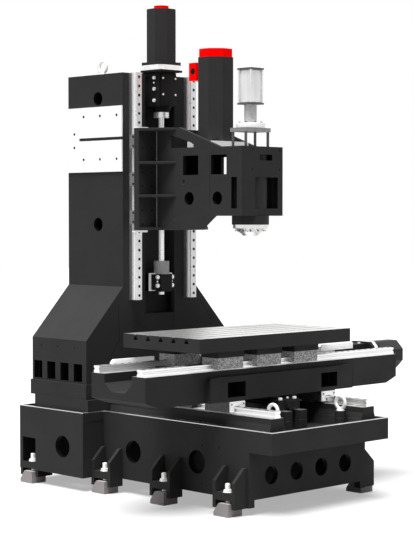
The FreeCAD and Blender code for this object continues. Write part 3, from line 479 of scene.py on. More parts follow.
def grey(value):
    return (value, value, value)


def bare_and_shade_mask(tree, faces, bands, painted):
    """Where the paint is off: on faces (axis, place), in bands (low, high), but not in painted boxes; with
    only bands, also the boxes of painted shade.
    """
    bare = [place_group(tree, machined_group, Axis=axis, Place=place) for axis, place in faces]
    bare += [place_group(tree, within_group, Low=tuple(low), High=tuple(high)) for low, high in bands]
    mask = bare[0].outputs["Mask"]
    for spot in bare[1:]:
        mask = number_node(tree, "MAXIMUM", mask, spot.outputs["Mask"])
    for low, high in painted:
        hidden = place_group(tree, within_group, Low=tuple(low), High=tuple(high)).outputs["Mask"]
        mask = number_node(tree, "SUBTRACT", mask, hidden, clamp=True)
    return mask


def casting_paint(name, faces=(), bands=(), painted=(), shade_cores=()):
    """Satin charcoal paint over a cast skin, bare where the mask of machined faces says, and near black in the
    core boxes as painted shade.
    """
    material, tree, shader = new_material(name, specular=0.12)
    grain = place_group(tree, grain_group, Speckle_Size=420.0, Cloud_Size=5.0)
    colour = colour_ramp(tree, grain.outputs["Speckle"], CHARCOAL_DARK, CHARCOAL_LIGHT)
    # Painted shade: inside the core boxes the paint turns near black, for the shade in hollows and holes.
    if shade_cores:
        colour = colour_ramp(tree, bare_and_shade_mask(tree, (), shade_cores, ()), colour, CORE_SHADE_BLACK)
    rough = range_node(tree, grain.outputs["Cloud"], 0.0, 1.0, 0.55, 0.7)
    if faces or bands:
        lay = place_group(tree, lay_group, Stretch=(30.0, 30.0, 500.0))
        bare = colour_ramp(tree, lay.outputs["Lines"], MACHINED_LOW, MACHINED_HIGH)
        mask = bare_and_shade_mask(tree, faces, bands, painted)
        colour = colour_ramp(tree, mask, colour, bare)
        rough = range_node(tree, mask, 0.0, 1.0, rough, 0.3)
        tree.links.new(range_node(tree, mask, 0.0, 1.0, 0.0, MACHINED_METALLIC), shader.inputs["Metallic"])
    tree.links.new(colour, shader.inputs["Base Color"])
    tree.links.new(rough, shader.inputs["Roughness"])
    bump(tree, shader, grain.outputs["Speckle"], 0.35, 0.0006)
    return material


def coat(tree, shader, colour, cloud, rough, glow):
    """Gives the shader its colour, a faint glow of it as painted light, and a roughness that follows the
    cloud.
    """
    tree.links.new(colour, shader.inputs["Base Color"])
    if glow:
        tree.links.new(colour, shader.inputs["Emission Color"])
        shader.inputs["Emission Strength"].default_value = glow
    tree.links.new(range_node(tree, cloud, 0.0, 1.0, *rough), shader.inputs["Roughness"])


def bare_metal(name, low, high, stretch, rough=(0.25, 0.4), metallic=0.9, glow=0.0):
    """Bare machined metal with its lay: low and high are the greys of the fine lines."""
    material, tree, shader = new_material(name, metallic=metallic)
    lay = place_group(tree, lay_group, Stretch=stretch)
    grain = place_group(tree, grain_group, Speckle_Size=260.0, Cloud_Size=9.0)
    colour = colour_ramp(tree, lay.outputs["Lines"], grey(low), grey(high))
    coat(tree, shader, colour, grain.outputs["Cloud"], rough, glow)
    bump(tree, shader, lay.outputs["Lines"], 0.12, 0.0002)
    return material


def speckled(name, low, high, size, rough=(0.5, 0.65), metallic=0.0, specular=0.4, strength=0.25, glow=0.0):
    """A finish whose colour is broken up by a fine speckle, such as cast iron, rubber or stoved paint."""
    material, tree, shader = new_material(name, metallic=metallic, specular=specular)
    grain = place_group(tree, grain_group, Speckle_Size=size, Cloud_Size=12.0)
    colour = colour_ramp(tree, grain.outputs["Speckle"], low, high)
    coat(tree, shader, colour, grain.outputs["Cloud"], rough, glow)
    bump(tree, shader, grain.outputs["Speckle"], strength, 0.0004)
    return material


ALONG_X, ALONG_Y, ALONG_Z = (5.0, 600.0, 600.0), (600.0, 5.0, 600.0), (600.0, 600.0, 5.0)
ROUND_Z, MILLED = (60.0, 60.0, 900.0), (80.0, 80.0, 300.0)

base_low, base_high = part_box("base_casting")
column_low, column_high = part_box("column_casting")
saddle_low, saddle_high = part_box("saddle_casting")
table_low, table_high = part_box("table")
head_low, head_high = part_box("head_casting")
bracket_low, bracket_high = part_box("foot_brackets")
rail_low, rail_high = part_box("z_rails")

base_half = (bracket_high.x - bracket_low.x) / 2 - FOOT_REACH
upright = (0, 0, 1)


def inner_rim():
    """The boxes inside the rim, for its narrow front part and its wide rear part."""
    low_z, top = RIM_TOP - RIM_BAND * 2, RIM_TOP - SKIN
    side, rear = FOOT_REACH + RIM_INSET, base_high.y - RIM_INSET
    return [(Vector((bracket_low.x + side, base_low.y + RIM_INSET, low_z)),
             Vector((bracket_high.x - side, rear, top))),
            (Vector((base_low.x + RIM_INSET, STEP_PLACE + RIM_INSET, low_z)),
             Vector((base_high.x - RIM_INSET, rear, top)))]


def rim_band():
    """The top edge of the base's rim, all round."""
    low, high = base_low, base_high
    return [(Vector((low.x - RIM_INSET, low.y - RIM_INSET, RIM_TOP - RIM_BAND)),
             Vector((high.x + RIM_INSET, high.y + RIM_INSET, RIM_TOP + SKIN)))]


def slot_band():
    """The top edges of the table's slots, away from its outer sides. Below them the slots' walls keep the
    charcoal paint, as painted shade.
    """
    edge = Vector((SKIN, TABLE_EDGE, 0))
    low, high = table_low + edge, table_high - edge
    return [(Vector((low.x, low.y, table_high.z - SLOT_BAND)), Vector((high.x, high.y, table_high.z)))]


def rail_seats():
    """The sides of the milled strips that the head's rails lie on."""
    seat_depth = 0.0245
    return [(Vector((rail_low.x - RIM_INSET, rail_high.y - SKIN, rail_low.z - SKIN)),
             Vector((rail_high.x + RIM_INSET, rail_high.y + seat_depth, rail_high.z + SKIN)))]


def base_shade_cores():
    """The hollow of the base, with the walls of its holes, behind the outer faces, painted near black as
    shade.
    """
    front_wall, low_z, high_z = -0.792 + CORE_SKIN, 0.040 + CORE_SKIN, 0.370
    inset, rear = FOOT_REACH + CORE_SKIN, base_high.y - CORE_SKIN
    return [(Vector((bracket_low.x + inset, front_wall, low_z)),
             Vector((bracket_high.x - inset, rear, high_z))),
            (Vector((base_low.x + CORE_SKIN, STEP_PLACE + CORE_SKIN, low_z)),
             Vector((base_high.x - CORE_SKIN, rear, high_z)))]


def saddle_shade_cores():
    """The walls of the saddle's windows, front and rear, painted near black as shade."""
    low_z, high_z, deep = 0.6075, 0.6905, 0.105
    near, far = saddle_low.y + CORE_SKIN, saddle_high.y - CORE_SKIN
    low_x, high_x = saddle_low.x + 0.5, saddle_high.x - 0.5
    return [(Vector((low_x, near, low_z)), Vector((high_x, near + deep, high_z))),
            (Vector((low_x, far - deep, low_z)), Vector((high_x, far, high_z)))]


def column_shade_cores():
    """The walls of the vents low in both sides of the column, and of the core holes higher up, painted near
    black as shade.
    """
    foot_half = FOOT_HALF - CORE_SKIN
    pad_thick = 0.008
    half = mid_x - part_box("tool_changer_pad")[0].x - pad_thick - CORE_SKIN
    return [(at(-foot_half, 0.440, 0.619), at(foot_half, 0.900, 0.727)),
            (at(-half, 0.520, 1.2), at(half, 0.690, 2.36))]


def head_shade_cores():
    """The hollow between the cheeks and the walls of its windows, painted near black as shade."""
    half, rear, low_z = ARM_HALF - CORE_SKIN, 0.200, 1.5825
    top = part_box("motor_plate")[0].z - 0.012
    return [(at(-half, head_low.y + CORE_SKIN, low_z), at(half, rear, top))]


base_paint = casting_paint(
    "base paint", [(upright, RIM_TOP), (upright, WAY_TOP), (upright, POST_TOP)], rim_band(), inner_rim(),
    base_shade_cores())
saddle_paint = casting_paint("saddle paint", [(upright, saddle_high.z)], shade_cores=saddle_shade_cores())
table_paint = casting_paint("table paint", [(upright, table_high.z)], slot_band())
column_paint = casting_paint("column paint", (), rail_seats(), shade_cores=column_shade_cores())
head_paint = casting_paint("head paint", shade_cores=head_shade_cores())
bracket_paint = casting_paint("bracket and rib paint")
nose_low, nose_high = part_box("spindle_cartridge")
# The spindle housing is bare below the nose's top, and painted near black as shade from 0.34 m above its foot,
# behind the head's hatch.
cartridge_paint = casting_paint(
    "spindle housing", (),
    [(nose_low - Vector((1, 1, 1)), Vector((nose_high.x + 1, nose_high.y + 1, NOSE_TOP)))],
    shade_cores=[(nose_low - Vector((1, 1, -0.34)), nose_high + Vector((1, 1, 1)))])
x_rail_steel = bare_metal("table rail steel", 0.78, 0.97, ALONG_X)
y_rail_steel = bare_metal("saddle rail steel", 0.78, 0.97, ALONG_Y)
# Painted light: the head rails, the ground screws and the milled plates below glow, which brightens them.
z_rail_steel = bare_metal("head rail steel", 0.78, 0.97, ALONG_Z, metallic=0.3, glow=0.12)
turned_steel = bare_metal("turned steel", 0.74, 0.95, ROUND_Z, metallic=0.7)
screw_steel = bare_metal("ground screw steel", 0.8, 0.98, ROUND_Z, metallic=0.4, glow=0.25)
milled_plate = bare_metal("milled plate", 0.86, 0.98, MILLED, (0.28, 0.38), 0.5, 0.2)
# Painted light: the motor plate's glow stands in for the light that the motor's shadow takes off it.
plate_white = bare_metal("motor plate face", 0.82, 0.95, MILLED, (0.4, 0.5), 0.2, 0.25)
post_dark = bare_metal("dark turned steel", 0.05, 0.15, ROUND_Z, (0.4, 0.5), 0.5)
post_grey = bare_metal("turned grey steel", 0.2, 0.34, ROUND_Z, (0.35, 0.5), 0.6)
# Its broad vertical streaks are the finish's lay and also painted shading, as on a round barrel.
cylinder_white = bare_metal("anodised cylinder", 0.7, 0.97, (14.0, 14.0, 1.5), (0.25, 0.35), 0.6)
cylinder_grey = speckled("neck casting", grey(0.3), grey(0.8), 220.0, (0.4, 0.5), 0.3)
# Painted light: the table carriages glow, to lift their faces out of shade.
carriage_grey = speckled("table carriage", grey(0.05), grey(0.6), 120.0, (0.4, 0.55), 0.2, glow=0.14)
# Painted shade: a darker copy of the carriage grey, for the saddle's carriages in the shade under it.
carriage_painted_shade = speckled("saddle carriage in painted shade", grey(0.01), grey(0.16), 120.0, (0.4, 0.55), 0.2)
carriage_mid = speckled("head carriage", grey(0.15), grey(0.27), 200.0, (0.4, 0.55), 0.2)
cast_bare = speckled("bare cast iron", (0.36, 0.33, 0.33), (0.5, 0.46, 0.46), 500.0, (0.6, 0.75))
# Painted light: the zinc, the white end plates and the red covers below glow, which brightens them.
zinc = speckled("bright zinc", (0.88, 0.88, 0.85), (0.97, 0.97, 0.94), 600.0, (0.3, 0.4), 0.3, glow=0.2)
white_cap = speckled("white end plate", grey(0.85), grey(0.95), 500.0, (0.4, 0.5), 0.2, glow=0.25)
red_cover = speckled("red cover", (0.9, 0.0, 0.0), (1.0, 0.0, 0.0), 500.0, (0.35, 0.45), specular=0.05,
                     strength=0.1, glow=0.4)
rubber = speckled("grey bumper rubber", grey(0.42), grey(0.85), 620.0, (0.7, 0.85), specular=0.2)
motor_grey = speckled("motor paint", (0.03, 0.03, 0.0305), (0.042, 0.042, 0.0425), 650.0, (0.45, 0.6),
                      specular=0.12)
black_satin = speckled("black bracket paint", grey(0.014), grey(0.022), 600.0, specular=0.1)
dark_steel = speckled("blackened steel", grey(0.03), grey(0.06), 500.0, (0.35, 0.5), 0.5)
# Painted shade: near black for the insides of holes, for dark lines along edges and for plates behind
# openings.
painted_shade_black = speckled("painted shade black", grey(0.004), grey(0.008), 500.0, (0.6, 0.8), specular=0.1)

FINISHES = {
    "base_casting": base_paint, "column_casting": column_paint, "saddle_casting": saddle_paint,
    "foot_brackets": bracket_paint, "head_ribs": bracket_paint, "head_casting": head_paint,
    "table": table_paint, "levelling_pads": cast_bare, "levelling_bolts": zinc, "lifting_eyes": zinc,
    "y_rails": y_rail_steel, "x_rails": x_rail_steel, "z_rails": z_rail_steel,
    # Painted shade: the saddle's ground screw takes the blackened steel, dark for the shade under the saddle.
    "y_screw": dark_steel, "x_screw": screw_steel, "z_screw": screw_steel, "y_bearing_block": black_satin,
    "x_bearing_block": black_satin, "z_lower_bearing": black_satin, "y_motor_bracket": black_satin,
    "x_motor_bracket": black_satin, "z_motor_bracket": black_satin, "y_blocks": carriage_painted_shade,
    "x_blocks": carriage_grey, "z_blocks": carriage_mid, "saddle_nut": dark_steel, "table_nut": dark_steel,
    "head_nut": turned_steel, "z_bumper": rubber, "z_bearing_ring": turned_steel,
    "z_motor_adapter": milled_plate, "x_motor_adapter": milled_plate, "y_motor": motor_grey,
    "x_motor": motor_grey, "z_motor": motor_grey, "spindle_motor": motor_grey, "z_motor_cap": red_cover,
    "spindle_motor_cap": red_cover, "terminal_box": red_cover, "tool_changer_pad": milled_plate,
    "motor_plate": plate_white, "spindle_cartridge": cartridge_paint, "spindle_rotor": turned_steel,
    "release_posts": post_dark, "release_plate": post_grey, "release_cylinder": milled_plate,
}


def dress(node, material):
    """Gives a carried-over solid its finish."""
    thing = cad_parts[node]
    if not thing.material_slots:
        thing.data.materials.append(material)
    for place in thing.material_slots:
        place.material = material


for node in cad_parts:
    dress(node, FINISHES[node])


# Floor, light and camera

WORLD_LIGHT = 0.15
SUN_LIGHT = 5.2
SUN_SPREAD = 40
SUN_PLACE = Vector((-0.26, -0.06, 0.96)).normalized()
FLOOR_SEEN = 0.52
FLOOR_GLOW = 0.40
FLOOR_BOUNCE = 0.25
FLOOR_SIZE = 60
LENS = 107.13
CAMERA_PLACE = (-6.6395, -6.6678, 1.5946)
CAMERA_DIP = 2.024
CAMERA_TURN = -44.359


def rays(tree, *kinds):
    """A mask of the rays of these kinds."""
    path = tree.nodes.new("ShaderNodeLightPath")
    mask = path.outputs[kinds[0]]
    for kind in kinds[1:]:
        mask = number_node(tree, "MAXIMUM", mask, path.outputs[kind])
    return mask


def floor_and_light():
    bpy.ops.object.select_all(action="DESELECT")
    bpy.ops.mesh.primitive_plane_add(size=FLOOR_SIZE, location=(0, 0, 0))
    floor = bpy.context.active_object
    floor.name = "floor"
    material, tree, shader = new_material("white floor", specular=0.0)
    seen = rays(tree, "Is Camera Ray", "Is Glossy Ray")
    tree.links.new(colour_ramp(tree, seen, grey(FLOOR_BOUNCE), grey(FLOOR_SEEN)), shader.inputs["Base Color"])
    glow = range_node(tree, seen, 0.0, 1.0, 0.0, FLOOR_GLOW)
    tree.links.new(colour_ramp(tree, glow, grey(0.0), grey(1.0)), shader.inputs["Emission Color"])
    shader.inputs["Emission Strength"].default_value = 1.0
    shader.inputs["Roughness"].default_value = 0.9
    floor.data.materials.append(material)

    world = bpy.data.worlds.new("studio")
    bpy.context.scene.world = world
    world.use_nodes = True
    tree = world.node_tree
    seen = rays(tree, "Is Camera Ray", "Is Glossy Ray", "Is Transmission Ray")
    strength = range_node(tree, seen, 0.0, 1.0, WORLD_LIGHT, 1.0)
    background = tree.nodes["Background"]
    background.inputs["Color"].default_value = (1, 1, 1, 1)
    tree.links.new(strength, background.inputs["Strength"])

    lamp = bpy.data.lights.new("overhead softbox", "SUN")
    lamp.energy = SUN_LIGHT
    lamp.angle = math.radians(SUN_SPREAD)
    sun = bpy.data.objects.new("overhead softbox", lamp)
    sun.rotation_euler = UP.rotation_difference(SUN_PLACE).to_euler()
    bpy.context.scene.collection.objects.link(sun)


def camera():
    view = bpy.data.cameras.new("camera")
    view.lens = LENS
    view.sensor_width = 36
    view.clip_end = 200
    eye = bpy.data.objects.new("camera", view)
    eye.location = CAMERA_PLACE
    eye.rotation_euler = (math.radians(90 - CAMERA_DIP), 0, math.radians(CAMERA_TURN))
    bpy.context.scene.collection.objects.link(eye)
    bpy.context.scene.camera = eye


floor_and_light()
camera()
bpy.context.scene.view_settings.view_transform = "Standard"


# Places in rows, squares and circles

def along(start, end, pitch):
    """Places from start to end at about that pitch."""
    count = round((end - start).length / pitch)
    return [start + (end - start) * n / count for n in range(count + 1)]


def spots(origin, first, second, *steps):
    """Places on a plane: origin plus each step's two lengths along the plane's two directions."""
    return [origin + first * a + second * b for a, b in steps]


def square(reach):
    """The steps to the four corners of a square."""
    return [(a, b) for a in (-reach, reach) for b in (-reach, reach)]


def circle(radius, count, shift=0.0):
    """The steps to places round a circle, with the first one turned by shift of a pitch."""
    turns = [math.tau * (n + shift) / count for n in range(count)]
    return [(math.cos(turn) * radius, math.sin(turn) * radius) for turn in turns]


# Fasteners and marks on the castings

def fasten(name, body, places, direction, radius, height, material=zinc, pattern=cap_screw):
    """A joined piece of like screws that stand on places along direction."""
    return finish(spread(pattern(radius, height), places, direction), name, body, material)


def mark_holes(name, body, places, direction, radius):
    """Holes drawn as thin plugs that stand a little proud of the surface, painted near black as the shade
    inside them.
    """
    return fasten(name, body, places, direction, radius, PLUG, painted_shade_black, rail_plug)


def plate(low, high, edge=0.0012, segments=2):
    return soften(brick(low, high), edge, segments)


def dark_line(start, end, out, width=0.0022, raised=0.0003):
    """A fine dark line from start to end on the surface that looks along out."""
    run = end - start
    thing = brick((-run.length / 2, -width / 2, -raised), (run.length / 2, width / 2, raised))
    run.normalize()
    turn = Matrix((run, out.cross(run), out)).transposed().to_4x4()
    thing.matrix_world = Matrix.Translation((start + end) / 2) @ turn
    bpy.context.view_layer.update()
    return settle(thing)


def rail_screws():
    """Counterbores along each pair of rails, on top, or in front on the column."""
    pairs = (("y_rails", "base", 1, 0, UP), ("x_rails", "saddle", 0, 1, UP), ("z_rails", "base", 2, 0, FRONT))
    for node, body, run, side, out in pairs:
        low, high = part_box(node)
        places = []
        for across in (low[side] + RAIL_HALF, high[side] - RAIL_HALF):
            start = Vector((low.x, low.y, high.z if out == UP else low.z))
            start[side] = across
            end = start.copy()
            start[run], end[run] = low[run] + RAIL_HOLE_INSET, high[run] - RAIL_HOLE_INSET
            places += along(start, end, RAIL_HOLE_PITCH)
        mark_holes(node.replace("rails", "rail_screws"), body, places, out, RAIL_HOLE)


def lifting_eyes():
    """Two eyes on the posts at the base's front, and two on top of the column."""
    ring_radius, thick, foot, foot_height = 0.0335, 0.0095, 0.023, 0.010
    low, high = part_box("lifting_eyes")
    reach = ring_radius + thick
    places = [at(0.274 * sign, low.y + reach, low.z) for sign in (-1, 1)]
    places += [at(0.255 * sign, high.y - reach, column_high.z) for sign in (-1, 1)]
    eyes = spread(eye_bolt(ring_radius, thick, foot, foot_height), places)
    finish(eyes, "lifting_eyes_forged", "base", zinc, ("lifting_eyes",))


def levelling_bolts():
    """Studs with nuts in the brackets' shelves and the rear feet, on shanks that stand on the pads."""
    stud, shank, nut, nut_height, tip = 0.0135, 0.010, 0.023, 0.014, 0.010
    low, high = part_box("levelling_bolts")
    shelf = bracket_low.z + 0.084
    side, end = 0.032, 0.082
    middle = (bracket_low.y + bracket_high.y) / 2
    feet = [(across, place) for across in (bracket_low.x + side, bracket_high.x - side)
            for place in (bracket_low.y + end, middle, bracket_high.y - end)]
    feet += [(across, high.y - 0.02) for across in (low.x + nut, high.x - nut)]
    on_shelf = [Vector((x, y, shelf)) for x, y in feet]
    on_pads = [Vector((x, y, low.z)) for x, y in feet]
    studs = spread(levelling_stud(stud, high.z - shelf - tip), on_shelf)
    shanks = spread(soften(cylinder(shank, shelf - low.z, 20), 0.0006, 1), on_pads)
    nuts = spread(hexagon_head(nut, nut_height), on_shelf)
    finish(join([studs, shanks, nuts]), "levelling_studs", "base", zinc, ("levelling_bolts",))


def base_marks():
    """Tapped holes for the chip guard, low and high on both sides of the base."""
    steps = ((-0.437, 0.340), (-0.569, 0.340), (-0.437, 0.129))
    for name, sign, out in (("base_holes_left", -1, LEFT), ("base_holes_right", 1, RIGHT)):
        mark_holes(name, "base", spots(at(base_half * sign, 0, 0), BACK, UP, *steps), out, TAPPED)


def column_marks():
    """Dark lines of painted shade where the faces of the column's foot meet, and tapped holes over its vents.
    """
    front = column_low.y + 0.025
    lines = []
    for panel in (((-0.329, 1.065), (-0.322, 0.859), (-0.402, 0.747)),
                  ((0.332, 1.066), (0.428, 0.953), (0.434, 0.880)), ((0.112, 1.0), (0.112, 0.611))):
        points = [at(across, front, height) for across, height in panel]
        lines += [dark_line(start, end, FRONT) for start, end in zip(points, points[1:])]
    finish(join(lines), "column_shade_lines", "base", painted_shade_black)
    steps = ((0.517, 0.817), (0.670, 0.817), (0.823, 0.817), (0.546, 0.707))
    for name, sign, out in (("column_holes_left", -1, LEFT), ("column_holes_right", 1, RIGHT)):
        mark_holes(name, "base", spots(at(FOOT_HALF * sign, 0, 0), BACK, UP, *steps), out, TAPPED)


def head_marks():
    """Parting lines, drain bosses, and the holes of the cover, the flange and the carriages."""
    seam_place, seam_low, seam_high = -0.184, 1.621, 1.924
    drain_place, drain_height, drain = 0.029, 1.780, 0.0085
    sides = ((-1, LEFT), (1, RIGHT))
    lines = [dark_line(at(ARM_HALF * sign, seam_place, seam_low), at(ARM_HALF * sign, seam_place, seam_high),
                  out) for sign, out in sides]
    finish(join(lines), "head_seams", "head", painted_shade_black)
    drains = [at(ARM_HALF * sign, drain_place, drain_height) for sign, out in sides]
    finish(join([spread(ring(0.021, 0.0011), [place], out) for place, (sign, out) in zip(drains, sides)]),
           "drain_bosses", "head", dark_steel)
    mark_holes("drain_hole_left", "head", drains[:1], LEFT, drain)
    mark_holes("drain_hole_right", "head", drains[1:], RIGHT, drain)
    steps = [(across, height) for across in (-0.080, 0.140) for height in (1.842, 1.952)]
    mark_holes("cover_holes", "head", spots(at(0, head_low.y, 0), RIGHT, UP, *steps), FRONT, TAPPED)

    low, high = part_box("z_blocks")
    block_half, middle = 0.041, (low.y + high.y) / 2
    pitch = (high.z - low.z) / 2 - block_half
    blocks = [low.z + block_half + pitch * n for n in (0, 1, 2)]
    steps = [(across * sign, height + shift) for sign in (-1, 1) for across in (0.188, 0.262)
             for height in blocks for shift in (-0.040, 0.040)]
    mark_holes("flange_holes", "head", spots(at(0, head_high.y - 0.176, 0), RIGHT, UP, *steps), FRONT, 0.006)
    for name, edge, out in (("carriage_holes_left", low.x, LEFT), ("carriage_holes_right", high.x, RIGHT)):
        holes = [Vector((edge, middle, height + shift)) for height in blocks for shift in (-0.026, 0.026)]
        mark_holes(name, "head", holes, out, 0.007)


def head_inside():
    """Webs that tie the spindle's housing to the cheeks, and the cover behind the right slot."""
    low_z, high_z, web_half, housing = 1.6065, 1.9455, 0.012, 0.090
    near, far = spindle_axis.y - web_half, spindle_axis.y + web_half
    webs = [plate(at(-ARM_INSIDE, near, low_z), at(-housing, far, high_z), 0.003),
            plate(at(housing, near, low_z), at(ARM_INSIDE, far, high_z), 0.003),
            plate(at(ARM_INSIDE - 0.006, -0.408, 1.610), at(ARM_INSIDE, -0.346, 1.812), 0.001)]
    finish(join(webs), "head_webs", "head", bracket_paint)


def rib_webs():
    """Ribs between the cheeks and the flange, the lowest pair short, and light beads down the cheeks' rear
    edges as painted highlight.
    """
    low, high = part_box("head_ribs")
    thick, tip, full, short = 0.017, 0.006, 0.184, 0.066
    flange = high.y
    ribs = []
    for foot, reach in ((low.z, short), (1.688, full), (1.880, full), (high.z - thick, full)):
        for cheek, edge in ((mid_x - ARM_HALF, low.x), (mid_x + ARM_HALF, high.x)):
            near, far = sorted((cheek, edge))
            rib = brick((near, flange - reach, foot), (far, flange, foot + thick))
            edit(rib, "EDGE")
            pick_edges(rib, lambda start, end: max(abs(start.x - edge), abs(end.x - edge),
                                                   start.y - flange + reach, end.y - flange + reach) < 0.001)
            bpy.ops.transform.translate(value=(0, reach - tip, 0))
            leave()
            ribs.append(soften(rib, 0.001))
    finish(join(ribs), "head_rib_webs", "head", bracket_paint, ("head_ribs",))
    # Painted highlight: the light grey beads stand for the highlight along the cheeks' rear edges.
    highlight_across, half, place = ARM_HALF + 0.0015, 0.0015, 0.255
    highlight_beads = [plate(at(highlight_across * sign - half, place - half, head_low.z + 0.002),
                   at(highlight_across * sign + half, place + half, head_high.z - 0.002), 0.0008) for sign in (-1, 1)]
    finish(join(highlight_beads), "cheek_highlight_beads", "head", rubber)


def changer_pad_holes():
    face = Vector((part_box("tool_changer_pad")[0].x, 0, 0))
    steps = [(place, height) for place in (0.456, 0.6055, 0.755) for height in (1.916, 2.172)]
    steps += [(0.841, height) for height in (1.990, 2.071)]
    mark_holes("changer_pad_holes", "base", spots(face, BACK, UP, *steps), LEFT, 0.008)


def hole_shade_plates():
    """Near black plates in the base's hollow behind the front pair of side holes: painted shade seen through
    them.
    """
    inset, wall, half, low_z, high_z = 0.058, 0.0295, 0.090, 0.145, 0.345
    plates = []
    for sign in (-1, 1):
        near, far = sorted(((base_half - inset) * sign, (base_half - wall) * sign))
        plates.append(plate(at(near, SIDE_HOLE_PLACE - half, low_z), at(far, SIDE_HOLE_PLACE + half, high_z)))
    finish(join(plates), "base_hole_shade_plates", "base", painted_shade_black)


def flange_strips():
    """Bright wiper strips at the top and bottom of the head's flange, on its left."""
    top, foot = head_high.z, head_low.z
    left, end = -FLANGE_LEFT + 0.004, -FLANGE_LEFT + 0.100
    strips = [
        plate(at(-FLANGE_LEFT, 0.276, top), at(-FLANGE_LEFT + 0.075, 0.316, top + 0.006)),
        plate(at(left, 0.312, foot - 0.012), at(end, 0.341, foot - 0.006)),
        plate(at(left, 0.309, foot - 0.012), at(end, 0.3155, foot + 0.0005)),
    ]
    finish(join(strips), "flange_strips", "head", white_cap)


def nose_screws():
    """Socket screws round the white flange of the spindle nose."""
    count, radius, face = 12, 0.084, 1.500
    places = spots(at(0, spindle_axis.y, face), RIGHT, BACK, *circle(radius, count, 0.5))
    fasten("nose_screws", "head", places, DOWN, 0.004, 0.004, dark_steel)


def z_bracket_details():
    """Screws and a pin in the sides of the motor bracket, and its screwed front cover."""
    half, front = 0.065, 0.334
    axis = z_screw_axis.x
    rows = ((0.384, 2.264), (0.384, 2.332), (0.384, 2.398))
    left, right = Vector((axis - half, 0, 0)), Vector((axis + half, 0, 0))
    fasten("bracket_screws_left", "base", spots(left, BACK, UP, *rows), LEFT, 0.0105, 0.010)
    fasten("bracket_pin_left", "base", spots(left, BACK, UP, (0.388, 2.369)), LEFT, 0.005, 0.005)
    fasten("bracket_screws_right", "base", spots(right, BACK, UP, *rows), RIGHT, 0.0105, 0.010)
    cover = plate((axis - 0.056, front, 2.234), (axis + 0.064, front + 0.008, 2.426), 0.0015)
    finish(cover, "bracket_cover", "base", black_satin)
    corners = [Vector((axis + across, front, height))
               for across in (-0.045, 0.055) for height in (2.299, 2.395)]
    fasten("cover_screws", "base", corners, FRONT, 0.006, 0.005)


def z_bearing_details():
    """The lower bearing's bright seat, its black flange, the screws and pins in it, and the nut below."""
    axis, front, reach = z_screw_axis, 0.372, 0.0585
    seat = plate((axis.x - 0.091, 0.401, 1.135), (axis.x + 0.091, 0.411, 1.240), 0.0008, 1)
    finish(seat, "lower_bearing_seat", "base", white_cap)
    flange = plate((axis.x - 0.080, front, 1.141), (axis.x + 0.080, 0.4012, 1.234), 0.002)
    finish(flange, "lower_bearing_flange", "base", black_satin)
    origin = Vector((axis.x, front, 0))
    steps = [(across, height) for across in (-reach, reach) for height in (1.217, 1.167)]
    fasten("lower_bearing_screws", "base", spots(origin, RIGHT, UP, *steps), FRONT, 0.0125, 0.012)
    pins = [(across, 1.191) for across in (-reach, reach)]
    fasten("lower_bearing_pins", "base", spots(origin, RIGHT, UP, *pins), FRONT, 0.005, 0.006)
    nut = spread(hexagon_head(0.0135, 0.014), [Vector((axis.x, axis.y, 1.1295))], DOWN)
    finish(nut, "lower_bearing_nut", "base", zinc)


def y_bearing_details():
    """Screws through the saddle screw's front bearing, its grease nipple and the screws of its cap."""
    low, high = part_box("y_bearing_block")
    axis = y_screw_axis
    caps = [Vector((axis.x + across, low.y + 0.035, 0.567)) for across in (-0.057, 0.057)]
    fasten("y_bearing_screws", "base", caps, UP, 0.0115, 0.013)
    fasten("y_bearing_nipple", "base", [Vector((axis.x, low.y + 0.034, high.z - 0.001))], UP, 0.006, 0.010)
    cap = spots(Vector((axis.x, low.y, axis.z)), RIGHT, UP, *circle(0.024, 6))
    fasten("y_bearing_cap_screws", "base", cap, FRONT, 0.0042, 0.004, dark_steel)


def carriage_plates():
    """White end plates with a scraper on the saddle's carriages, front and rear."""
    low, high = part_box("y_blocks")
    half, rail, thick = 0.058, 0.0245, 0.005
    over, foot, top = WAY_TOP + 0.0405, WAY_TOP + 0.010, WAY_TOP + 0.066
    rails = (low.x + BLOCK_HALF, high.x - BLOCK_HALF)
    plates = []
    for across in rails:
        for near, far in ((low.y - thick, low.y), (high.y, high.y + thick)):
            plates.append(plate((across - half, near, over), (across + half, far, top), 0.001))
            for start, end in ((across - half, across - rail), (across + rail, across + half)):
                plates.append(plate((start, near, foot), (end, far, over + 0.001), 0.001))
    finish(join(plates), "carriage_end_plates", "saddle", white_cap)
    screws = [Vector((across + shift, low.y - thick, WAY_TOP + 0.052)) for across in rails
              for shift in (-0.045, 0.045)]
    fasten("carriage_plate_screws", "saddle", screws, FRONT, 0.0045, 0.003, dark_steel)


def saddle_marks():
    """A row of tapped holes under each of the table's rails, and painted shade lines on the saddle nose's side
    edges.
    """
    pitch, count, start, tapped, nose_half = 0.1195, 15, -0.072, 0.004, 0.5775
    front, rear, height = saddle_low.y + 0.030, saddle_high.y, saddle_high.z - 0.005
    row = [start + pitch * (n - count // 2) for n in range(count)]
    mark_holes("saddle_holes_front", "saddle", [at(x, front, height) for x in row], FRONT, tapped)
    mark_holes("saddle_holes_rear", "saddle", [at(x, rear, height) for x in row], BACK, tapped)
    edges = [dark_line(at(x, saddle_low.y, 0.598), at(x, saddle_low.y, 0.700), FRONT)
             for x in (nose_half, -nose_half)]
    finish(join(edges), "saddle_nose_shade_lines", "saddle", painted_shade_black)


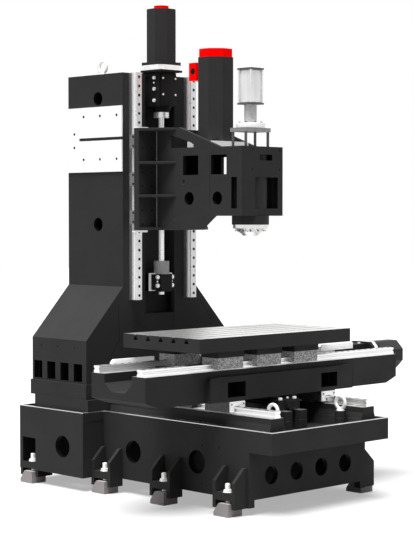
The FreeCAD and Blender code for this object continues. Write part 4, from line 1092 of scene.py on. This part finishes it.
def guard_bar():
    """The bright bevelled bar that stands behind the rear rail of the table, on a black angle."""
    left, right, rear, top = -0.845, -0.539, saddle_high.y, 0.808
    bar = brick(at(left, rear + 0.025, 0.760), at(right, rear + 0.047, top))
    edge = mid_x + left + 0.001
    edit(bar)
    pick_edges(bar, lambda start, end: min(start.z, end.z) > top - 0.008 and max(start.x, end.x) < edge)
    bpy.ops.mesh.bevel(offset=0.018, segments=1)
    leave()
    finish(soften(bar, 0.001), "guard_bar", "saddle", white_cap)
    angle = join([plate(at(left, rear, 0.742), at(right, rear + 0.047, 0.7605)),
                  plate(at(left, rear, 0.690), at(right, rear + 0.010, 0.750))])
    finish(angle, "guard_bar_angle", "saddle", black_satin)


def x_bracket_details():
    """Cover over the table's screw, and the screws on its motor bracket."""
    axis = x_screw_axis
    left, right, front, rear = 0.466, 0.748, axis.y - 0.100, axis.y - 0.094
    cover = plate(at(left, front, 0.799), at(right, rear, 0.834), 0.0015)
    foot = plate(at(left, front, 0.797), at(right, front + 0.030, 0.802), 0.0015)
    leg = plate(at(right - 0.050, rear, saddle_high.z - 0.001), at(right - 0.004, rear + 0.008, 0.799), 0.001)
    finish(join([cover, foot]), "x_screw_cover", "saddle", white_cap)
    finish(leg, "x_screw_cover_leg", "saddle", black_satin)
    places = [at(x, axis.y + y, axis.z + 0.082) for x in (0.790, 0.880) for y in (-0.035, 0.035)]
    fasten("x_bracket_screws", "saddle", places, UP, 0.0085, 0.008)


def motor_screws():
    """Four flange screws on each axis motor."""
    flange = 0.017
    for axis, name, body, out, first, second, reach, radius, height in (
            (z_screw_axis, "z_motor", "base", UP, RIGHT, BACK, 0.078, 0.007, 0.002),
            (x_screw_axis, "x_motor", "saddle", RIGHT, BACK, UP, 0.078, 0.007, 0.007),
            (y_screw_axis, "y_motor", "base", BACK, RIGHT, UP, 0.068, 0.006, 0.006)):
        face = axis + out * (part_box(name)[0].dot(out) + flange - axis.dot(out))
        places = spots(face, first, second, *square(reach))
        fasten(name + "_screws", body, places, out, radius, height, dark_steel)


def spindle_motor_details():
    """Foot lugs of the spindle motor, and the cable hole in its terminal box."""
    low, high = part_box("spindle_motor")
    half, height = 0.013, 0.016
    middle = Vector(((low.x + high.x) / 2, (low.y + high.y) / 2, low.z))
    feet = [Vector((x, y, low.z)) * 0.72 + middle * 0.28 for x in (low.x, high.x) for y in (low.y, high.y)]
    lugs = [plate(place - Vector((half, half, 0)), place + Vector((half, half, height)), 0.002)
            for place in feet]
    finish(join(lugs), "spindle_motor_feet", "head", black_satin)
    tops = [place + UP * height for place in feet]
    fasten("spindle_motor_screws", "head", tops, UP, 0.008, 0.008, dark_steel)
    low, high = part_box("terminal_box")
    gland = spread(rail_plug(0.019, PLUG), [Vector((low.x, low.y + 0.027, 2.416))], LEFT)
    finish(gland, "terminal_box_hole", "head", painted_shade_black)


def release_cylinder():
    """The tool release cylinder: barrel, end plates, tie rods, neck and bolted disc."""
    low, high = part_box("release_cylinder")
    disc_top, neck_top, barrel_foot, lid = 2.104, 2.207, 2.217, high.z - 0.010
    end_half, end_thick, barrel_half, rod_reach = 0.0535, 0.010, 0.044, 0.0465
    column = Vector(((low.x + high.x) / 2, (low.y + high.y) / 2, 0))

    disc = spread(soften(cylinder(0.082, disc_top - low.z, 64), 0.002), [column + UP * low.z])
    finish(disc, "release_disc", "head", white_cap, ("release_cylinder",))
    neck = spread(cylinder(0.035, neck_top - disc_top, 48), [column + UP * disc_top])
    finish(neck, "release_neck", "head", cylinder_grey)
    ends = [plate(column + Vector((-end_half, -end_half, foot)),
                  column + Vector((end_half, end_half, foot + end_thick)), 0.001) for foot in (neck_top, lid)]
    finish(join(ends), "release_end_plates", "head", post_dark)
    barrel = plate(column + Vector((-barrel_half, -barrel_half, barrel_foot)),
                   column + Vector((barrel_half, barrel_half, lid)), 0.004)
    finish(barrel, "release_barrel", "head", cylinder_white)
    corners = spots(column + UP * barrel_foot, RIGHT, BACK, *square(rod_reach))
    rods = spread(cylinder(0.005, lid - barrel_foot, 16), corners)
    finish(rods, "release_tie_rods", "head", turned_steel)
    nuts = [place + UP * (high.z - barrel_foot) for place in corners]
    fasten("release_rod_nuts", "head", nuts, UP, 0.008, 0.006, pattern=hexagon_head)
    bolts = spots(column + UP * disc_top, RIGHT, BACK, *circle(0.066, 8, 0.5))
    fasten("release_disc_screws", "head", bolts, UP, 0.006, 0.006, dark_steel)


rail_screws()
lifting_eyes()
levelling_bolts()
base_marks()
column_marks()
head_marks()
head_inside()
rib_webs()
changer_pad_holes()
hole_shade_plates()
flange_strips()
nose_screws()
z_bracket_details()
z_bearing_details()
y_bearing_details()
carriage_plates()
saddle_marks()
guard_bar()
x_bracket_details()
motor_screws()
spindle_motor_details()
release_cylinder()
